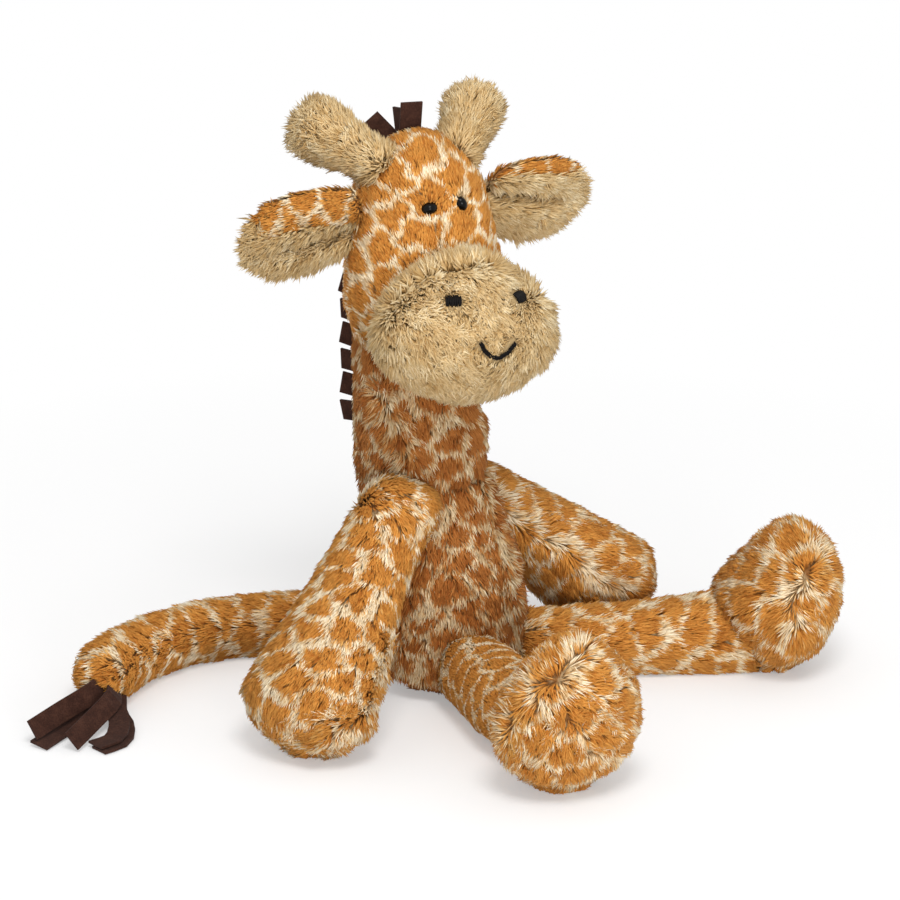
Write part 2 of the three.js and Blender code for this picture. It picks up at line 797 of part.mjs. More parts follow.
function tasselStrip(i, grow = 0) {
  const { points } = tailLine();
  const end = points[points.length - 1];
  const out = new THREE.CatmullRomCurve3(points).getTangent(1).setZ(0).normalize();
  const side = new THREE.Vector3().crossVectors(out, upward);
  const stops = tasselRunShares[i].map(([across, along, height]) =>
    end.clone()
      .setZ(tassel.length * height)
      .addScaledVector(side, tassel.length * across)
      .addScaledVector(out, tassel.length * along),
  );
  const line = new THREE.CatmullRomCurve3(stops);
  const steps = 9;
  const rings = [];
  for (let k = 0; k <= steps; k++) {
    const run = line.getTangent(k / steps);
    const flat = new THREE.Vector3().crossVectors(upward, run).normalize();
    const across = flat.applyAxisAngle(run, THREE.MathUtils.degToRad(tasselRolls[i]));
    const thick = new THREE.Vector3().crossVectors(run, across);
    const place = line.getPoint(k / steps);
    rings.push(oblong(place, across, thick, tassel.width / 2 + grow, tassel.thickness / 2 + grow));
  }
  return toSolid(skinned(rings));
}

// Suede tabs: flat pieces whose roots are sewn into a seam. They lean along the seam, tip to one
// side of it and twist.
function tabFrame(place, normal, along, lean, twist, tip = 0) {
  const tipped = normal.clone().applyAxisAngle(along, tip);
  const out = tipped.applyAxisAngle(new THREE.Vector3().crossVectors(along, tipped).normalize(), lean);
  const width = along.clone().applyAxisAngle(out, twist);
  return framedAlong(place, out, width);
}

function tabForm(frame, grow = 0, height = tab.height) {
  const box = new THREE.BoxGeometry(
    tab.width + 2 * grow,
    tab.thickness + 2 * grow,
    height + tab.root + 2 * grow,
  );
  box.translate(0, 0, (height - tab.root) / 2);
  return placed(box, frame);
}

const neckTabLeans = [-12, -6, -7, -2, -3, 5];
const neckTabTwists = [10, -12, 8, -6, 12, -10];
const crownTabAngles = [-47, -30, -12];
const crownTabLeans = [6, 22, 20];
const crownTabTwists = [80, 0, 80];
const crownTabTips = [-30, -3, 0];
const crownTabHeights = [tab.height + tab.root, tab.height, tab.height];

const neckTabFrames = neckTabLeans.map((lean, i) => {
  const place = new THREE.Vector3(0, neckOffset + neckDiameter / 2, neckTabTop - neckTabPitch * i);
  const back = forward.clone().negate();
  const degrees = THREE.MathUtils.degToRad;
  return tabFrame(place, back, upward, degrees(lean), degrees(neckTabTwists[i]));
});

const crownTabFrames = crownTabAngles.map((angle, i) => {
  const degrees = THREE.MathUtils.degToRad;
  const middle = new THREE.Vector3(0, -crownOffset, headTop - headDepth / 2);
  const out = upward.clone().applyAxisAngle(leftward, degrees(angle));
  const { place } = skinPoint(headForm(0), middle, out);
  const along = new THREE.Vector3().crossVectors(out, leftward);
  const [lean, twist, tip] = [crownTabLeans[i], crownTabTwists[i], crownTabTips[i]].map(degrees);
  return tabFrame(place, out, along, lean, twist, tip);
});

// Eyes: a domed button whose shank goes through the cloth into a washer
function eyeFrame(sign) {
  const inside = new THREE.Vector3((sign * eyeSpacing) / 2, 0, eyeHeight);
  const { place, normal } = skinPoint(headForm(0), inside, forward);
  return framedAlong(place, normal, leftward);
}

function lathed(profile, frame, sides) {
  return placed(new THREE.LatheGeometry(profile, sides).rotateX(Math.PI / 2), frame);
}

function eyeSolid(frame, grow = 0) {
  const radius = eyeDiameter / 2 + grow;
  const shank = shankDiameter / 2 + grow;
  const profile = [
    new THREE.Vector2(0, -shankLength - grow),
    new THREE.Vector2(shank, -shankLength - grow),
    new THREE.Vector2(shank, -grow),
    new THREE.Vector2(radius, -grow),
    new THREE.Vector2(radius, eyeFlange),
  ];
  const steps = 4;
  for (let i = 1; i < steps; i++) {
    const angle = (i / steps) * (Math.PI / 2);
    const rise = eyeFlange + (eyeDome + grow) * Math.sin(angle);
    profile.push(new THREE.Vector2(radius * Math.cos(angle), rise));
  }
  profile.push(new THREE.Vector2(0, eyeFlange + eyeDome + grow));
  return lathed(profile, frame, 12);
}

function washerSolid(frame, grow = 0) {
  const inner = shankDiameter / 2 + seamGap - grow;
  const outer = washerDiameter / 2 + grow;
  const top = -washerDepth + grow;
  const bottom = -washerDepth - washerThickness - grow;
  const profile = [
    new THREE.Vector2(inner, bottom),
    new THREE.Vector2(outer, bottom),
    new THREE.Vector2(outer, top),
    new THREE.Vector2(inner, top),
    new THREE.Vector2(inner, bottom),
  ];
  return lathed(profile, frame, 12);
}

// Nostrils: raised oval pads of satin stitch
function nostrilSolid(sign) {
  const { place, normal } = onMuzzle(muzzleForm(0), (sign * nostrilSpacing) / 2, nostrilLift);
  const pad = new THREE.SphereGeometry(1, 12, 8);
  pad.scale(nostrilWidth / 2, nostrilHeight / 2, nostrilRise);
  return placed(pad, framedAlong(place, normal, muzzleSide)).subtract(muzzleForm(seamGap));
}

// Mouth: a smile of thick thread that lies on the muzzle
function mouthSolid() {
  const steps = 10;
  const muzzle = muzzleForm(0);
  const rings = [];
  for (let i = 0; i <= steps; i++) {
    const share = (2 * i) / steps - 1;
    const lift = mouthLift - mouthDrop * (1 - share * share);
    const { place } = onMuzzle(muzzle, (share * mouthWidth) / 2, lift);
    rings.push(oval(place, muzzleUp, forward, threadDiameter / 2, threadDiameter / 2, 6));
  }
  return toSolid(skinned(rings)).subtract(muzzleForm(seamGap));
}

// Pellet bag in the seat, and the slit of the closing seam that reaches it
const bagShares = [[0, 0.8], [0.5, 1], [1, 0.7]];
const bagRound = 0.4;

function bagSolid(grow) {
  const bottom = new THREE.Vector3(0, 0, pelletBag.lift);
  const top = new THREE.Vector3(0, 0, pelletBag.lift + pelletBag.height);
  return stuffedForm({
    path: new THREE.LineCurve3(bottom, top),
    side: leftward,
    width: pelletBag.width,
    depth: pelletBag.depth,
    widths: bagShares,
    depths: bagShares,
    startRound: bagRound,
    endRound: bagRound,
    rings: 7,
    sides: 12,
    grow,
  });
}

function closingSlit() {
  const slit = new THREE.BoxGeometry(closingSeam.gap, torsoDepth, closingSeam.height);
  slit.translate(closingSeam.offset, torsoDepth / 2, closingSeam.lift + closingSeam.height / 2);
  return toSolid(slit);
}

// Records where a moving piece turns, and how far
function hinged(mesh, frame, name, axis) {
  const pivot = new THREE.Vector3().setFromMatrixPosition(frame);
  const hinge = axis ?? new THREE.Vector3().setFromMatrixColumn(frame, 0);
  mesh.userData.hinge = { pivot, axis: hinge, range: ranges[name] };
  return mesh;
}

// A hinged piece cut to clear what it hangs on over its whole range
function hung(form, carrier, frame, halfWidth, radius, name, steps = 2) {
  const pivot = new THREE.Vector3().setFromMatrixPosition(frame);
  const axis = new THREE.Vector3().setFromMatrixColumn(frame, 0);
  const still = carrier.subtract(seatBall(frame, halfWidth, radius, seamGap / 2));
  return clearOf(form, still, pivot, axis, ranges[name], steps);
}

const parts = new THREE.Group();
const headGroup = new THREE.Group();
headGroup.position.y = neckOffset;
headGroup.rotation.z = headTurn;
parts.add(headGroup);
const sides = [
  { side: 'right', sign: -1, leg: rightLeg },
  { side: 'left', sign: 1, leg: leftLeg },
];

// Torso, with its bowls for the limbs and its filling
const tailFrame = tailLine().frame;
const torsoGrown = torsoForm(jointGap);
let torso = torsoForm(0)
  .subtract(neckForm(seamGap))
  .subtract(seatBall(neckFrame, neckSeatRadius, neckSeatRadius, seamGap))
  .subtract(seatBall(tailFrame, tailRootRadius, tailRootRadius, seamGap))
  .subtract(bagSolid(seamGap))
  .subtract(closingSlit());
for (const { sign, side, leg } of sides) {
  const { seat: hip, hinge, frame: legFrame } = legLine(leg);
  torso = torso.subtract(seatBall(legFrame, legRootRadius, legRootRadius, seamGap));
  const limb = hung(legForm(leg, 0), torsoGrown, legFrame, legRootRadius, legRootRadius, 'leg');
  const shin = largestPiece(limb.subtract(footForm(leg, seamGap)));
  parts.add(hinged(named(`leg_${side}`, aboveFloor(shin), materials.patchFur), legFrame, 'leg'));
  parts.add(named(`foot_${side}`, aboveFloor(footForm(leg, 0)), materials.patchFur));

  const armFrame = armLine(sign, pawRestHeight(sign)).frame;
  torso = torso.subtract(seatBall(armFrame, armRootRadius, armRootRadius, seamGap));
  let arm = armAt(sign, pawRestHeight(sign), 0);
  arm = hung(arm, torsoGrown, armFrame, armRootRadius, armRootRadius, 'arm', 6);
  // A paw that lies against a leg is pressed flat beside it
  arm = clearOf(arm, legSwing(leg), hip, hinge.clone().negate(), ranges.leg, 3);
  parts.add(hinged(named(`arm_${side}`, aboveFloor(arm), materials.patchFur), armFrame, 'arm'));
}
parts.add(named('torso', aboveFloor(largestPiece(torso)), materials.patchFur));
parts.add(named('pellet_bag', bagSolid(0), materials.bagCloth));

// Tail and tassel
let tail = hung(tailForm(0), torsoGrown, tailFrame, tailRootRadius, tailRootRadius, 'tail');
for (let i = 0; i < tasselRolls.length; i++) {
  tail = tail.subtract(tasselStrip(i, seamGap));
  parts.add(named(`tassel_strip_${i + 1}`, tasselStrip(i), materials.suede));
}
parts.add(hinged(named('tail', aboveFloor(largestPiece(tail)), materials.patchFur), tailFrame, 'tail'));

// Neck and its tabs, which the head clears as it turns
let neck = neckForm(0);
neckTabFrames.forEach((frame, i) => {
  neck = neck.subtract(tabForm(frame, seamGap));
  parts.add(named(`neck_tab_${i + 1}`, tabForm(frame), materials.suede));
});
parts.add(hinged(named('neck', neck, materials.patchFur), neckFrame, 'neck'));

// Head, with what is sewn to it
const headGrown = headForm(seamGap);
const headJointGrown = headForm(jointGap);
const fromHead = new THREE.Matrix4().makeRotationZ(-headTurn).multiply(headAxis);
const topTab = tabForm(neckTabFrames[0], jointGap).transform(fromHead.elements);
let head = headForm(0).subtract(neckInHead(seamGap));
head = clearOf(head, topTab, new THREE.Vector3(), upward.clone().negate(), ranges.head, 6);
crownTabFrames.forEach((frame, i) => {
  head = head.subtract(tabForm(frame, seamGap, crownTabHeights[i]));
  headGroup.add(named(`crown_tab_${i + 1}`, tabForm(frame, 0, crownTabHeights[i]), materials.suede));
});
for (const { sign, side } of sides) {
  const eye = eyeFrame(sign);
  head = head.subtract(eyeSolid(eye, seamGap)).subtract(washerSolid(eye, seamGap));
  headGroup.add(named(`eye_${side}`, eyeSolid(eye), materials.eyePlastic));
  headGroup.add(named(`eye_washer_${side}`, washerSolid(eye), materials.washerPlastic));
  headGroup.add(named(`nostril_${side}`, nostrilSolid(sign), materials.thread));

  const horn = hornFrame(sign);
  head = head.subtract(seatBall(horn, hornRootRadius, hornRootRadius, seamGap));
  const hornCut = hung(hornForm(sign, 0), headJointGrown, horn, hornRootRadius, hornRootRadius, 'horn');
  headGroup.add(hinged(named(`horn_${side}`, hornCut, materials.beigeFur), horn, 'horn'));

  const ear = earFrame(sign);
  head = head.subtract(seatBall(ear, earRootHalfWidth, earRootRadius, seamGap));
  const earCut = hung(earForm(sign, 0), headJointGrown, ear, earRootHalfWidth, earRootRadius, 'ear');
  const earBack = largestPiece(earCut.subtract(liningForm(sign, seamGap)));
  headGroup.add(hinged(named(`ear_back_${side}`, earBack, materials.patchFur), ear, 'ear'));
  headGroup.add(named(`ear_lining_${side}`, liningForm(sign, 0), materials.beigeFur));
}
headGroup.add(named('mouth', mouthSolid(), materials.thread));
const muzzle = muzzleForm(0).subtract(headGrown).subtract(neckInHead(seamGap));
headGroup.add(named('muzzle', largestPiece(muzzle), materials.beigeFur));
const headMesh = named('head', largestPiece(head), materials.patchFur);
headGroup.add(hinged(headMesh, new THREE.Matrix4().makeTranslation(0, 0, neckDomeHeight), 'head', upward));

export default parts;
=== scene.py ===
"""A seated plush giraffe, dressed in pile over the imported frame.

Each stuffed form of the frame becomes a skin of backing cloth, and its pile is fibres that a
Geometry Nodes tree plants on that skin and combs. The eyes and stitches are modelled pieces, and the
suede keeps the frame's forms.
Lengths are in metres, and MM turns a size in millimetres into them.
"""
import json
import math

import bmesh
import bpy
import numpy as np
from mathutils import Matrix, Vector
from mathutils.bvhtree import BVHTree


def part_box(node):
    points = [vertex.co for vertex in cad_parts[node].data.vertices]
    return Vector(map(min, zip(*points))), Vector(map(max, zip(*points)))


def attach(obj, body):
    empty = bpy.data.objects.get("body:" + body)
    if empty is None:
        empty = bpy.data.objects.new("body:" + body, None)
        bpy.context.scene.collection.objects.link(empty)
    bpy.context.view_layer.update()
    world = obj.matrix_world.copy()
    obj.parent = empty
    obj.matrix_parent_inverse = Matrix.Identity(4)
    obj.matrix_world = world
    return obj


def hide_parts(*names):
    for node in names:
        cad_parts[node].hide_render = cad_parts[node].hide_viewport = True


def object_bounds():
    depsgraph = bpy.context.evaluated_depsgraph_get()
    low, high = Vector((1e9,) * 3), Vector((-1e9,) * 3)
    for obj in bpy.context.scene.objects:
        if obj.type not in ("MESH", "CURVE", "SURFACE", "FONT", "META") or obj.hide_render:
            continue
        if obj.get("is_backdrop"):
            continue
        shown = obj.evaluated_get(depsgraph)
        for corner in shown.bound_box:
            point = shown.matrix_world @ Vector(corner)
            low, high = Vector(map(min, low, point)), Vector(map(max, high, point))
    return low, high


MM = 0.001
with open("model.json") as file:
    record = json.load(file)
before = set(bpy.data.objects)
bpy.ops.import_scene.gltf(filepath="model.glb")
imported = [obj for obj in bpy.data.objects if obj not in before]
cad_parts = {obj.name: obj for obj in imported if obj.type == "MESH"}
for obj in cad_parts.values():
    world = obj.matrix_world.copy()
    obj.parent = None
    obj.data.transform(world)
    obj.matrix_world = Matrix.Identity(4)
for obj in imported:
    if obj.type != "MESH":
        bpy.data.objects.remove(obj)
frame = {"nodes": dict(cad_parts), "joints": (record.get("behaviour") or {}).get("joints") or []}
cad_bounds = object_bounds()
nodes = frame["nodes"]
scene = bpy.context.scene

# The camera stands where the photographer did, a little above a toy that looks past it
VIEW_AZIMUTH = math.radians(-55)
VIEW_HEIGHT = math.radians(20)
VIEW_DISTANCE = 1500 * MM
VIEW_TARGET = Vector((27.3, 17.6, 89.2)) * MM
SENSOR_WIDTH = 36
LENS = 142.9

# Skins: the cells and smoothing of their remesh, how deep inside a neighbour one counts as covered,
# and how far everything stays off the floor
SKIN_CELL = 2.2 * MM
SKIN_SMOOTHING = 10
COVERED_DEPTH = 3.5 * MM
FLOOR_CLEARANCE = 0.25 * MM

# The print: half a cream line, how much more it is where it swells, the fade at a patch's edge, how
# the edges waver, and how much a patch is drawn in along its form
LINE_HALF = 0.35 * MM
LINE_SWELL = 1.0 * MM
LINE_FADE = 1.3 * MM
WAVER = 1.5 * MM
WAVER_SIZE = 9 * MM
PRINT_SQUAT = 1.3

# Seams: how deep and wide the pile dips along one, how far from it the nap parts and how strongly,
# how much longer the pile is there and how far it stands up, and how its cream edge bunches
SEAM_DEPTH = 1.0 * MM
SEAM_WIDTH = 2.0 * MM
SEAM_PARTING = 7 * MM
SEAM_FAN = 1.3
SEAM_LENGTHENING = 0.25
SEAM_STAND = math.radians(20)
SEAM_WAVER = 1.6 * MM
SEAM_CREAM = 3.6 * MM
SEAM_BUNCH = 6 * MM
NECK_FOLD = 2.4 * MM


# Colours and nodes

def linear(code):
    """An sRGB hex colour as the linear RGBA that Blender's sockets take."""
    channels = [int(code[i:i + 2], 16) / 255 for i in (1, 3, 5)]
    return (*[c / 12.92 if c <= 0.04045 else ((c + 0.055) / 1.055) ** 2.4 for c in channels], 1.0)


def add(tree, kind, settings=None, inputs=None, stops=()):
    """Adds a node, with its properties, with a value, a node or a node's output in each input, and with
    the (place, hex colour) stops of a colour ramp. Of a node, the first output is linked."""
    node = tree.nodes.new(kind)
    for name, value in (settings or {}).items():
        setattr(node, name, value)
    for name, value in (inputs or {}).items():
        socket = node.inputs[name]
        if isinstance(value, bpy.types.Node):
            value = value.outputs[0]
        if isinstance(value, bpy.types.NodeSocket):
            tree.links.new(value, socket)
        else:
            socket.default_value = value
    for k, (place, code) in enumerate(stops):
        bands = node.color_ramp.elements
        band = bands[k] if k < len(bands) else bands.new(1)
        band.position = place
        band.color = linear(code)
    return node


def material(name, roughness):
    """A new material, with its tree and its shader."""
    made = bpy.data.materials.new(name)
    made.use_nodes = True
    shader = made.node_tree.nodes["Principled BSDF"]
    shader.inputs["Roughness"].default_value = roughness
    return made, made.node_tree, shader


def pile_material(name, colours, shades):
    """Dyed acrylic pile: matt fibres with a soft sheen. Across the tone map lies the print, and up it
    lies a fibre's depth in the pile, along which the shades paint shade, darkest at its root."""
    made, tree, shader = material(name, 0.8)
    tone = add(tree, "ShaderNodeUVMap", {"uv_map": "tone"})
    parts = add(tree, "ShaderNodeSeparateXYZ", inputs={"Vector": tone}).outputs
    dye = add(tree, "ShaderNodeValToRGB", inputs={"Fac": parts["X"]}, stops=colours)
    # The shades are painted shade, darkening each fibre towards its root
    depth = add(tree, "ShaderNodeValToRGB", inputs={"Fac": parts["Y"]}, stops=shades)
    mixed = add(
        tree, "ShaderNodeMix", {"data_type": "RGBA", "blend_type": "MULTIPLY"}, {0: 1.0, 6: dye, 7: depth}
    )
    tree.links.new(mixed.outputs[2], shader.inputs["Base Color"])
    shader.inputs["Sheen Weight"].default_value = 0.08
    shader.inputs["Sheen Roughness"].default_value = 0.6
    shader.inputs["Sheen Tint"].default_value = linear("#f0c890")
    shader.inputs["Specular IOR Level"].default_value = 0.15
    return made


printed_pile = pile_material(
    "printed_acrylic_pile",
    [(0.0, "#fbf0d8"), (0.3, "#f5dfb6"), (0.5, "#e7b871"), (0.72, "#dda150"), (1.0, "#d49244")],
    [(0.0, "#94704a"), (0.35, "#c9ac8a"), (0.62, "#e5d7c4"), (0.82, "#faf5ee"), (1.0, "#ffffff")],
)
# The printed pile with painted shade, for the torso and neck, which hang in the shade of the head
shaded_print_pile = pile_material(
    "printed_acrylic_pile_painted_shade",
    [(0.0, "#eadbbd"), (0.3, "#e0c59c"), (0.5, "#cc9a5e"), (0.72, "#be7f42"), (1.0, "#b17036")],
    [(0.0, "#856042"), (0.35, "#bd9e7c"), (0.62, "#dccdb8"), (0.82, "#f7f1e8"), (1.0, "#ffffff")],
)
beige_pile = pile_material(
    "beige_acrylic_pile",
    [(0.0, "#f0dfba"), (0.5, "#e6cfa2"), (1.0, "#dcc294")],
    [(0.0, "#a38963"), (0.35, "#c9b596"), (0.62, "#e2d5c0"), (0.82, "#faf5ee"), (1.0, "#ffffff")],
)


def backing_material(name, colours):
    """Knitted backing cloth under the pile, darkened with painted shade: dull, and seen only where the pile
    parts.
    """
    made, tree, shader = material(name, 0.95)
    share = add(tree, "ShaderNodeAttribute", {"attribute_name": "print_share"}).outputs["Fac"]
    colour = add(tree, "ShaderNodeValToRGB", inputs={"Fac": share}, stops=colours)
    tree.links.new(colour.outputs[0], shader.inputs["Base Color"])
    return made


# The backings' colours are the pile's cream, caramel and beige, darkened with painted shade
printed_backing = backing_material("knitted_backing_printed", [(0.0, "#b8a078"), (1.0, "#87592b")])
beige_backing = backing_material("knitted_backing_beige", [(0.0, "#a88e64"), (1.0, "#a88e64")])


def grained(name, roughness, kind, grain, depth, strength, colours, sheen_mottle=None):
    """A material whose grain, a pattern of this kind and size, both raises it and colours it. A mottle
    of another size, painted sheen, varies the colour more broadly."""
    made, tree, shader = material(name, roughness)
    place = add(tree, "ShaderNodeTexCoord").outputs["Object"]
    factor = add(tree, kind, inputs=dict(grain, Vector=place))
    bump = add(tree, "ShaderNodeBump", inputs={"Height": factor, "Distance": depth, "Strength": strength})
    tree.links.new(bump.outputs[0], shader.inputs["Normal"])
    if sheen_mottle:
        sheen_mottles = add(tree, "ShaderNodeTexNoise", inputs={"Vector": place, "Scale": 1 / sheen_mottle, "Detail": 3.0})
        factor = add(tree, "ShaderNodeMix", {"data_type": "FLOAT"}, {0: 0.5, 2: factor, 3: sheen_mottles})
    colour = add(tree, "ShaderNodeValToRGB", inputs={"Fac": factor}, stops=colours)
    tree.links.new(colour.outputs[0], shader.inputs["Base Color"])
    return made, shader


# Brushed polyester suede: dark brown and quite matt; the nap's sheen is painted in as broad patches
suede, shader = grained(
    "brown_polyester_suede", 0.95, "ShaderNodeTexNoise", {"Scale": 1 / (0.7 * MM), "Detail": 6.0},
    depth=0.12 * MM, strength=0.8, colours=[(0.3, "#2a1812"), (0.5, "#3a231b"), (0.72, "#4d3227")],
    # Painted sheen: the broad patches where the nap catches light
    sheen_mottle=4 * MM,
)
shader.inputs["Sheen Weight"].default_value = 0.05
shader.inputs["Specular IOR Level"].default_value = 0.1

# Black rayon embroidery thread: fine twist along each stitch, with a dull shine
thread, shader = grained(
    "black_rayon_thread", 0.55, "ShaderNodeTexNoise", {"Scale": 1 / (0.35 * MM), "Detail": 2.0},
    depth=0.08 * MM, strength=0.8, colours=[(0.3, "#060505"), (0.7, "#151211")],
)
shader.inputs["Specular IOR Level"].default_value = 0.1

# Moulded nylon washer: milky white with a satin surface
washer_nylon, shader = grained(
    "white_moulded_nylon", 0.45, "ShaderNodeTexNoise", {"Scale": 1 / (0.9 * MM), "Detail": 3.0},
    depth=0.03 * MM, strength=0.8, colours=[(0.3, "#dedbd0"), (0.7, "#f0eee6")],
)

# Spun polyester cloth of the pellet bag: off-white, with a plain weave half a millimetre apart
bag_cloth, shader = grained(
    "spun_polyester_bag_cloth", 0.9, "ShaderNodeTexVoronoi", {"Scale": 1 / (0.5 * MM)},
    depth=0.1 * MM, strength=1.0, colours=[(0.0, "#c9c3b4"), (0.6, "#e0dbce")],
)

# Black ABS of the eyes, moulded and tumbled to a gloss: near black, with small bright reflections
eye_black, tree, shader = material("glossy_black_abs", 0.12)
place = add(tree, "ShaderNodeTexCoord").outputs["Object"]
smudges = add(tree, "ShaderNodeTexNoise", inputs={"Vector": place, "Scale": 1 / (1.5 * MM), "Detail": 3.0})
gloss = add(tree, "ShaderNodeMapRange", inputs={"Value": smudges, "To Min": 0.06, "To Max": 0.2})
tree.links.new(gloss.outputs[0], shader.inputs["Roughness"])
shader.inputs["Base Color"].default_value = linear("#080706")
shader.inputs["Specular IOR Level"].default_value = 0.14


# Meshes

def new_object(name, mesh):
    made = bpy.data.objects.new(name, mesh)
    scene.collection.objects.link(made)
    return made


def evaluated_mesh(thing):
    depsgraph = bpy.context.evaluated_depsgraph_get()
    return bpy.data.meshes.new_from_object(thing.evaluated_get(depsgraph), depsgraph=depsgraph)


def with_modifiers(mesh, *modifiers):
    """The mesh that a stack of (kind, settings) modifiers makes of this one."""
    holder = new_object("holder", mesh)
    for kind, settings in modifiers:
        modifier = holder.modifiers.new(kind.lower(), kind)
        for name, value in settings.items():
            setattr(modifier, name, value)
    made = evaluated_mesh(holder)
    bpy.data.objects.remove(holder)
    bpy.data.meshes.remove(mesh)
    return made


def points_of(mesh):
    places = np.zeros(len(mesh.vertices) * 3)
    mesh.vertices.foreach_get("co", places)
    return places.reshape(-1, 3)


def normals_of(mesh):
    normals = np.zeros(len(mesh.vertices) * 3)
    mesh.vertices.foreach_get("normal", normals)
    return normals.reshape(-1, 3)


def move_points(mesh, places):
    mesh.vertices.foreach_set("co", places.ravel())
    mesh.update()


def ring_faces(rings, sides, first=0):
    """The faces between rings of corners that follow each other from a first corner on."""
    return [
        (start + k, start + (k + 1) % sides, start + sides + (k + 1) % sides, start + sides + k)
        for start in range(first, first + (rings - 1) * sides, sides) for k in range(sides)
    ]


def unit(vectors):
    return vectors / np.maximum(np.linalg.norm(vectors, axis=-1, keepdims=True), 1e-12)


def set_attribute(mesh, name, values):
    kind, field = ("FLOAT_VECTOR", "vector") if values.ndim > 1 else ("FLOAT", "value")
    attribute = mesh.attributes.new(name, kind, "POINT")
    attribute.data.foreach_set(field, values.astype(np.float32).ravel())


def reworked(mesh, work):
    """A mesh after a function has worked on its editable form."""
    form = bmesh.new()
    form.from_mesh(mesh)
    work(form)
    form.to_mesh(mesh)
    form.free()
    return mesh


def merged_copy(node_name):
    """A copy of a frame node's mesh whose loose triangles are joined up."""
    mesh = nodes[node_name].data.copy()
    mesh.materials.clear()
    return reworked(mesh, lambda form: bmesh.ops.remove_doubles(form, verts=form.verts, dist=0.001 * MM))


def filled_form(node_names):
    """The form of some nodes with the bowls that their neighbours sit in filled, flush outside."""
    mesh = merged_copy(node_names[0])
    form = bmesh.new()
    for node_name in node_names:
        form.from_mesh(nodes[node_name].data)
    hull = bmesh.ops.convex_hull(form, input=form.verts)
    unused = [e for e in hull["geom_interior"] + hull["geom_unused"] if isinstance(e, bmesh.types.BMVert)]
    bmesh.ops.delete(form, geom=list(set(unused)), context="VERTS")
    inner = [f for f in form.faces if f not in set(hull["geom"])]
    bmesh.ops.delete(form, geom=inner, context="FACES_ONLY")
    bmesh.ops.recalc_face_normals(form, faces=form.faces)
    form.to_mesh(mesh)
    form.free()
    return mesh


def skin_of(node_names, inset, filled=True, reshape=None):
    """The backing cloth of a form: its outside drawn in by the pile's height, but not off the floor."""
    mesh = with_modifiers(
        filled_form(node_names) if filled else merged_copy(node_names[0]),
        ("REMESH", {"mode": "VOXEL", "voxel_size": SKIN_CELL, "use_smooth_shade": True}),
        ("SMOOTH", {"factor": 0.5, "iterations": SKIN_SMOOTHING}),
    )
    if reshape:
        move_points(mesh, reshape(points_of(mesh)))
    places = points_of(mesh)
    drawn = places - normals_of(mesh) * inset
    low = places[:, 2] < inset
    drawn[low, 2] = np.minimum(drawn[low, 2], places[low, 2] + FLOOR_CLEARANCE)
    drawn[:, 2] = np.maximum(drawn[:, 2], FLOOR_CLEARANCE)
    move_points(mesh, drawn)
    return mesh


# Patterns and naps. Each works on rows of points, all in the row's own frame.

def stretched(places, axis, share):
    """Places with their reach along an axis multiplied, so that cells made there come out shorter."""
    return places + (places @ axis)[:, None] * axis * (share - 1)


def spread_seeds(places, spacing, seed):
    """Places picked from these so that no two are nearer than the spacing."""
    order = np.random.default_rng(seed).permutation(len(places))
    chosen = [places[order[0]]]
    for place in places[order]:
        if np.min(np.linalg.norm(np.array(chosen) - place, axis=1)) > spacing:
            chosen.append(place)
    return np.array(chosen)


RIPPLE_WAVES = 6
RIPPLE_GAIN = 1.4


def ripple(places, size, seed):
    """A smooth wavering vector for each place, about one unit long, that changes over the size."""
    rng = np.random.default_rng(seed)
    total = np.zeros_like(places)
    for _ in range(RIPPLE_WAVES):
        direction = unit(rng.normal(size=3)) * (2 * math.pi / size) * rng.uniform(0.6, 1.4)
        wave = np.sin(places @ direction + rng.uniform(0, 2 * math.pi))[:, None]
        total += wave * unit(rng.normal(size=3))
    return total / math.sqrt(RIPPLE_WAVES) * RIPPLE_GAIN


def print_share(places, seeds, seed):
    """How far each place is inside a caramel patch: 0 in the middle of a cream line, 1 in a patch."""
    moved = places + ripple(places, WAVER_SIZE, seed) * WAVER
    gaps = np.linalg.norm(moved[:, None, :] - seeds[None], axis=2)
    nearest = np.partition(gaps, 1, axis=1)[:, :2]
    edge = (nearest[:, 1] - nearest[:, 0]) / 2
    swell = np.clip(ripple(places, 2 * WAVER_SIZE, seed + 1)[:, 0], 0, 1) * LINE_SWELL
    return np.clip((edge - LINE_HALF - swell) / LINE_FADE, 0, 1)


def along(direction):
    vector = np.array(direction, float)
    return lambda places, normals: np.broadcast_to(vector, places.shape).copy()


def near(reach, width):
    """1 where a reach is nothing, easing to 0 beyond a width."""
    return np.exp(-(reach / width) ** 2)


def gaps_to(places, line):
    """From the nearest point of a line of points to each place."""
    best = np.full((len(places), 3), np.inf)
    for start, end in zip(line[:-1], line[1:]):
        step = end - start
        share = np.clip((places - start) @ step / (step @ step), 0, 1)
        gap = places - (start + share[:, None] * step)
        nearer = np.linalg.norm(gap, axis=1) < np.linalg.norm(best, axis=1)
        best[nearer] = gap[nearer]
    return best


# The camera's frame, in which a pixel of the photograph is a ray

view_back = np.array([
    math.sin(VIEW_AZIMUTH) * math.cos(VIEW_HEIGHT),
    -math.cos(VIEW_AZIMUTH) * math.cos(VIEW_HEIGHT),
    math.sin(VIEW_HEIGHT),
])
view_right = np.array([math.cos(VIEW_AZIMUTH), math.sin(VIEW_AZIMUTH), 0.0])
view_up = np.cross(view_back, view_right)
view_place = np.array(VIEW_TARGET) + view_back * VIEW_DISTANCE
PHOTO_SIDE = 900


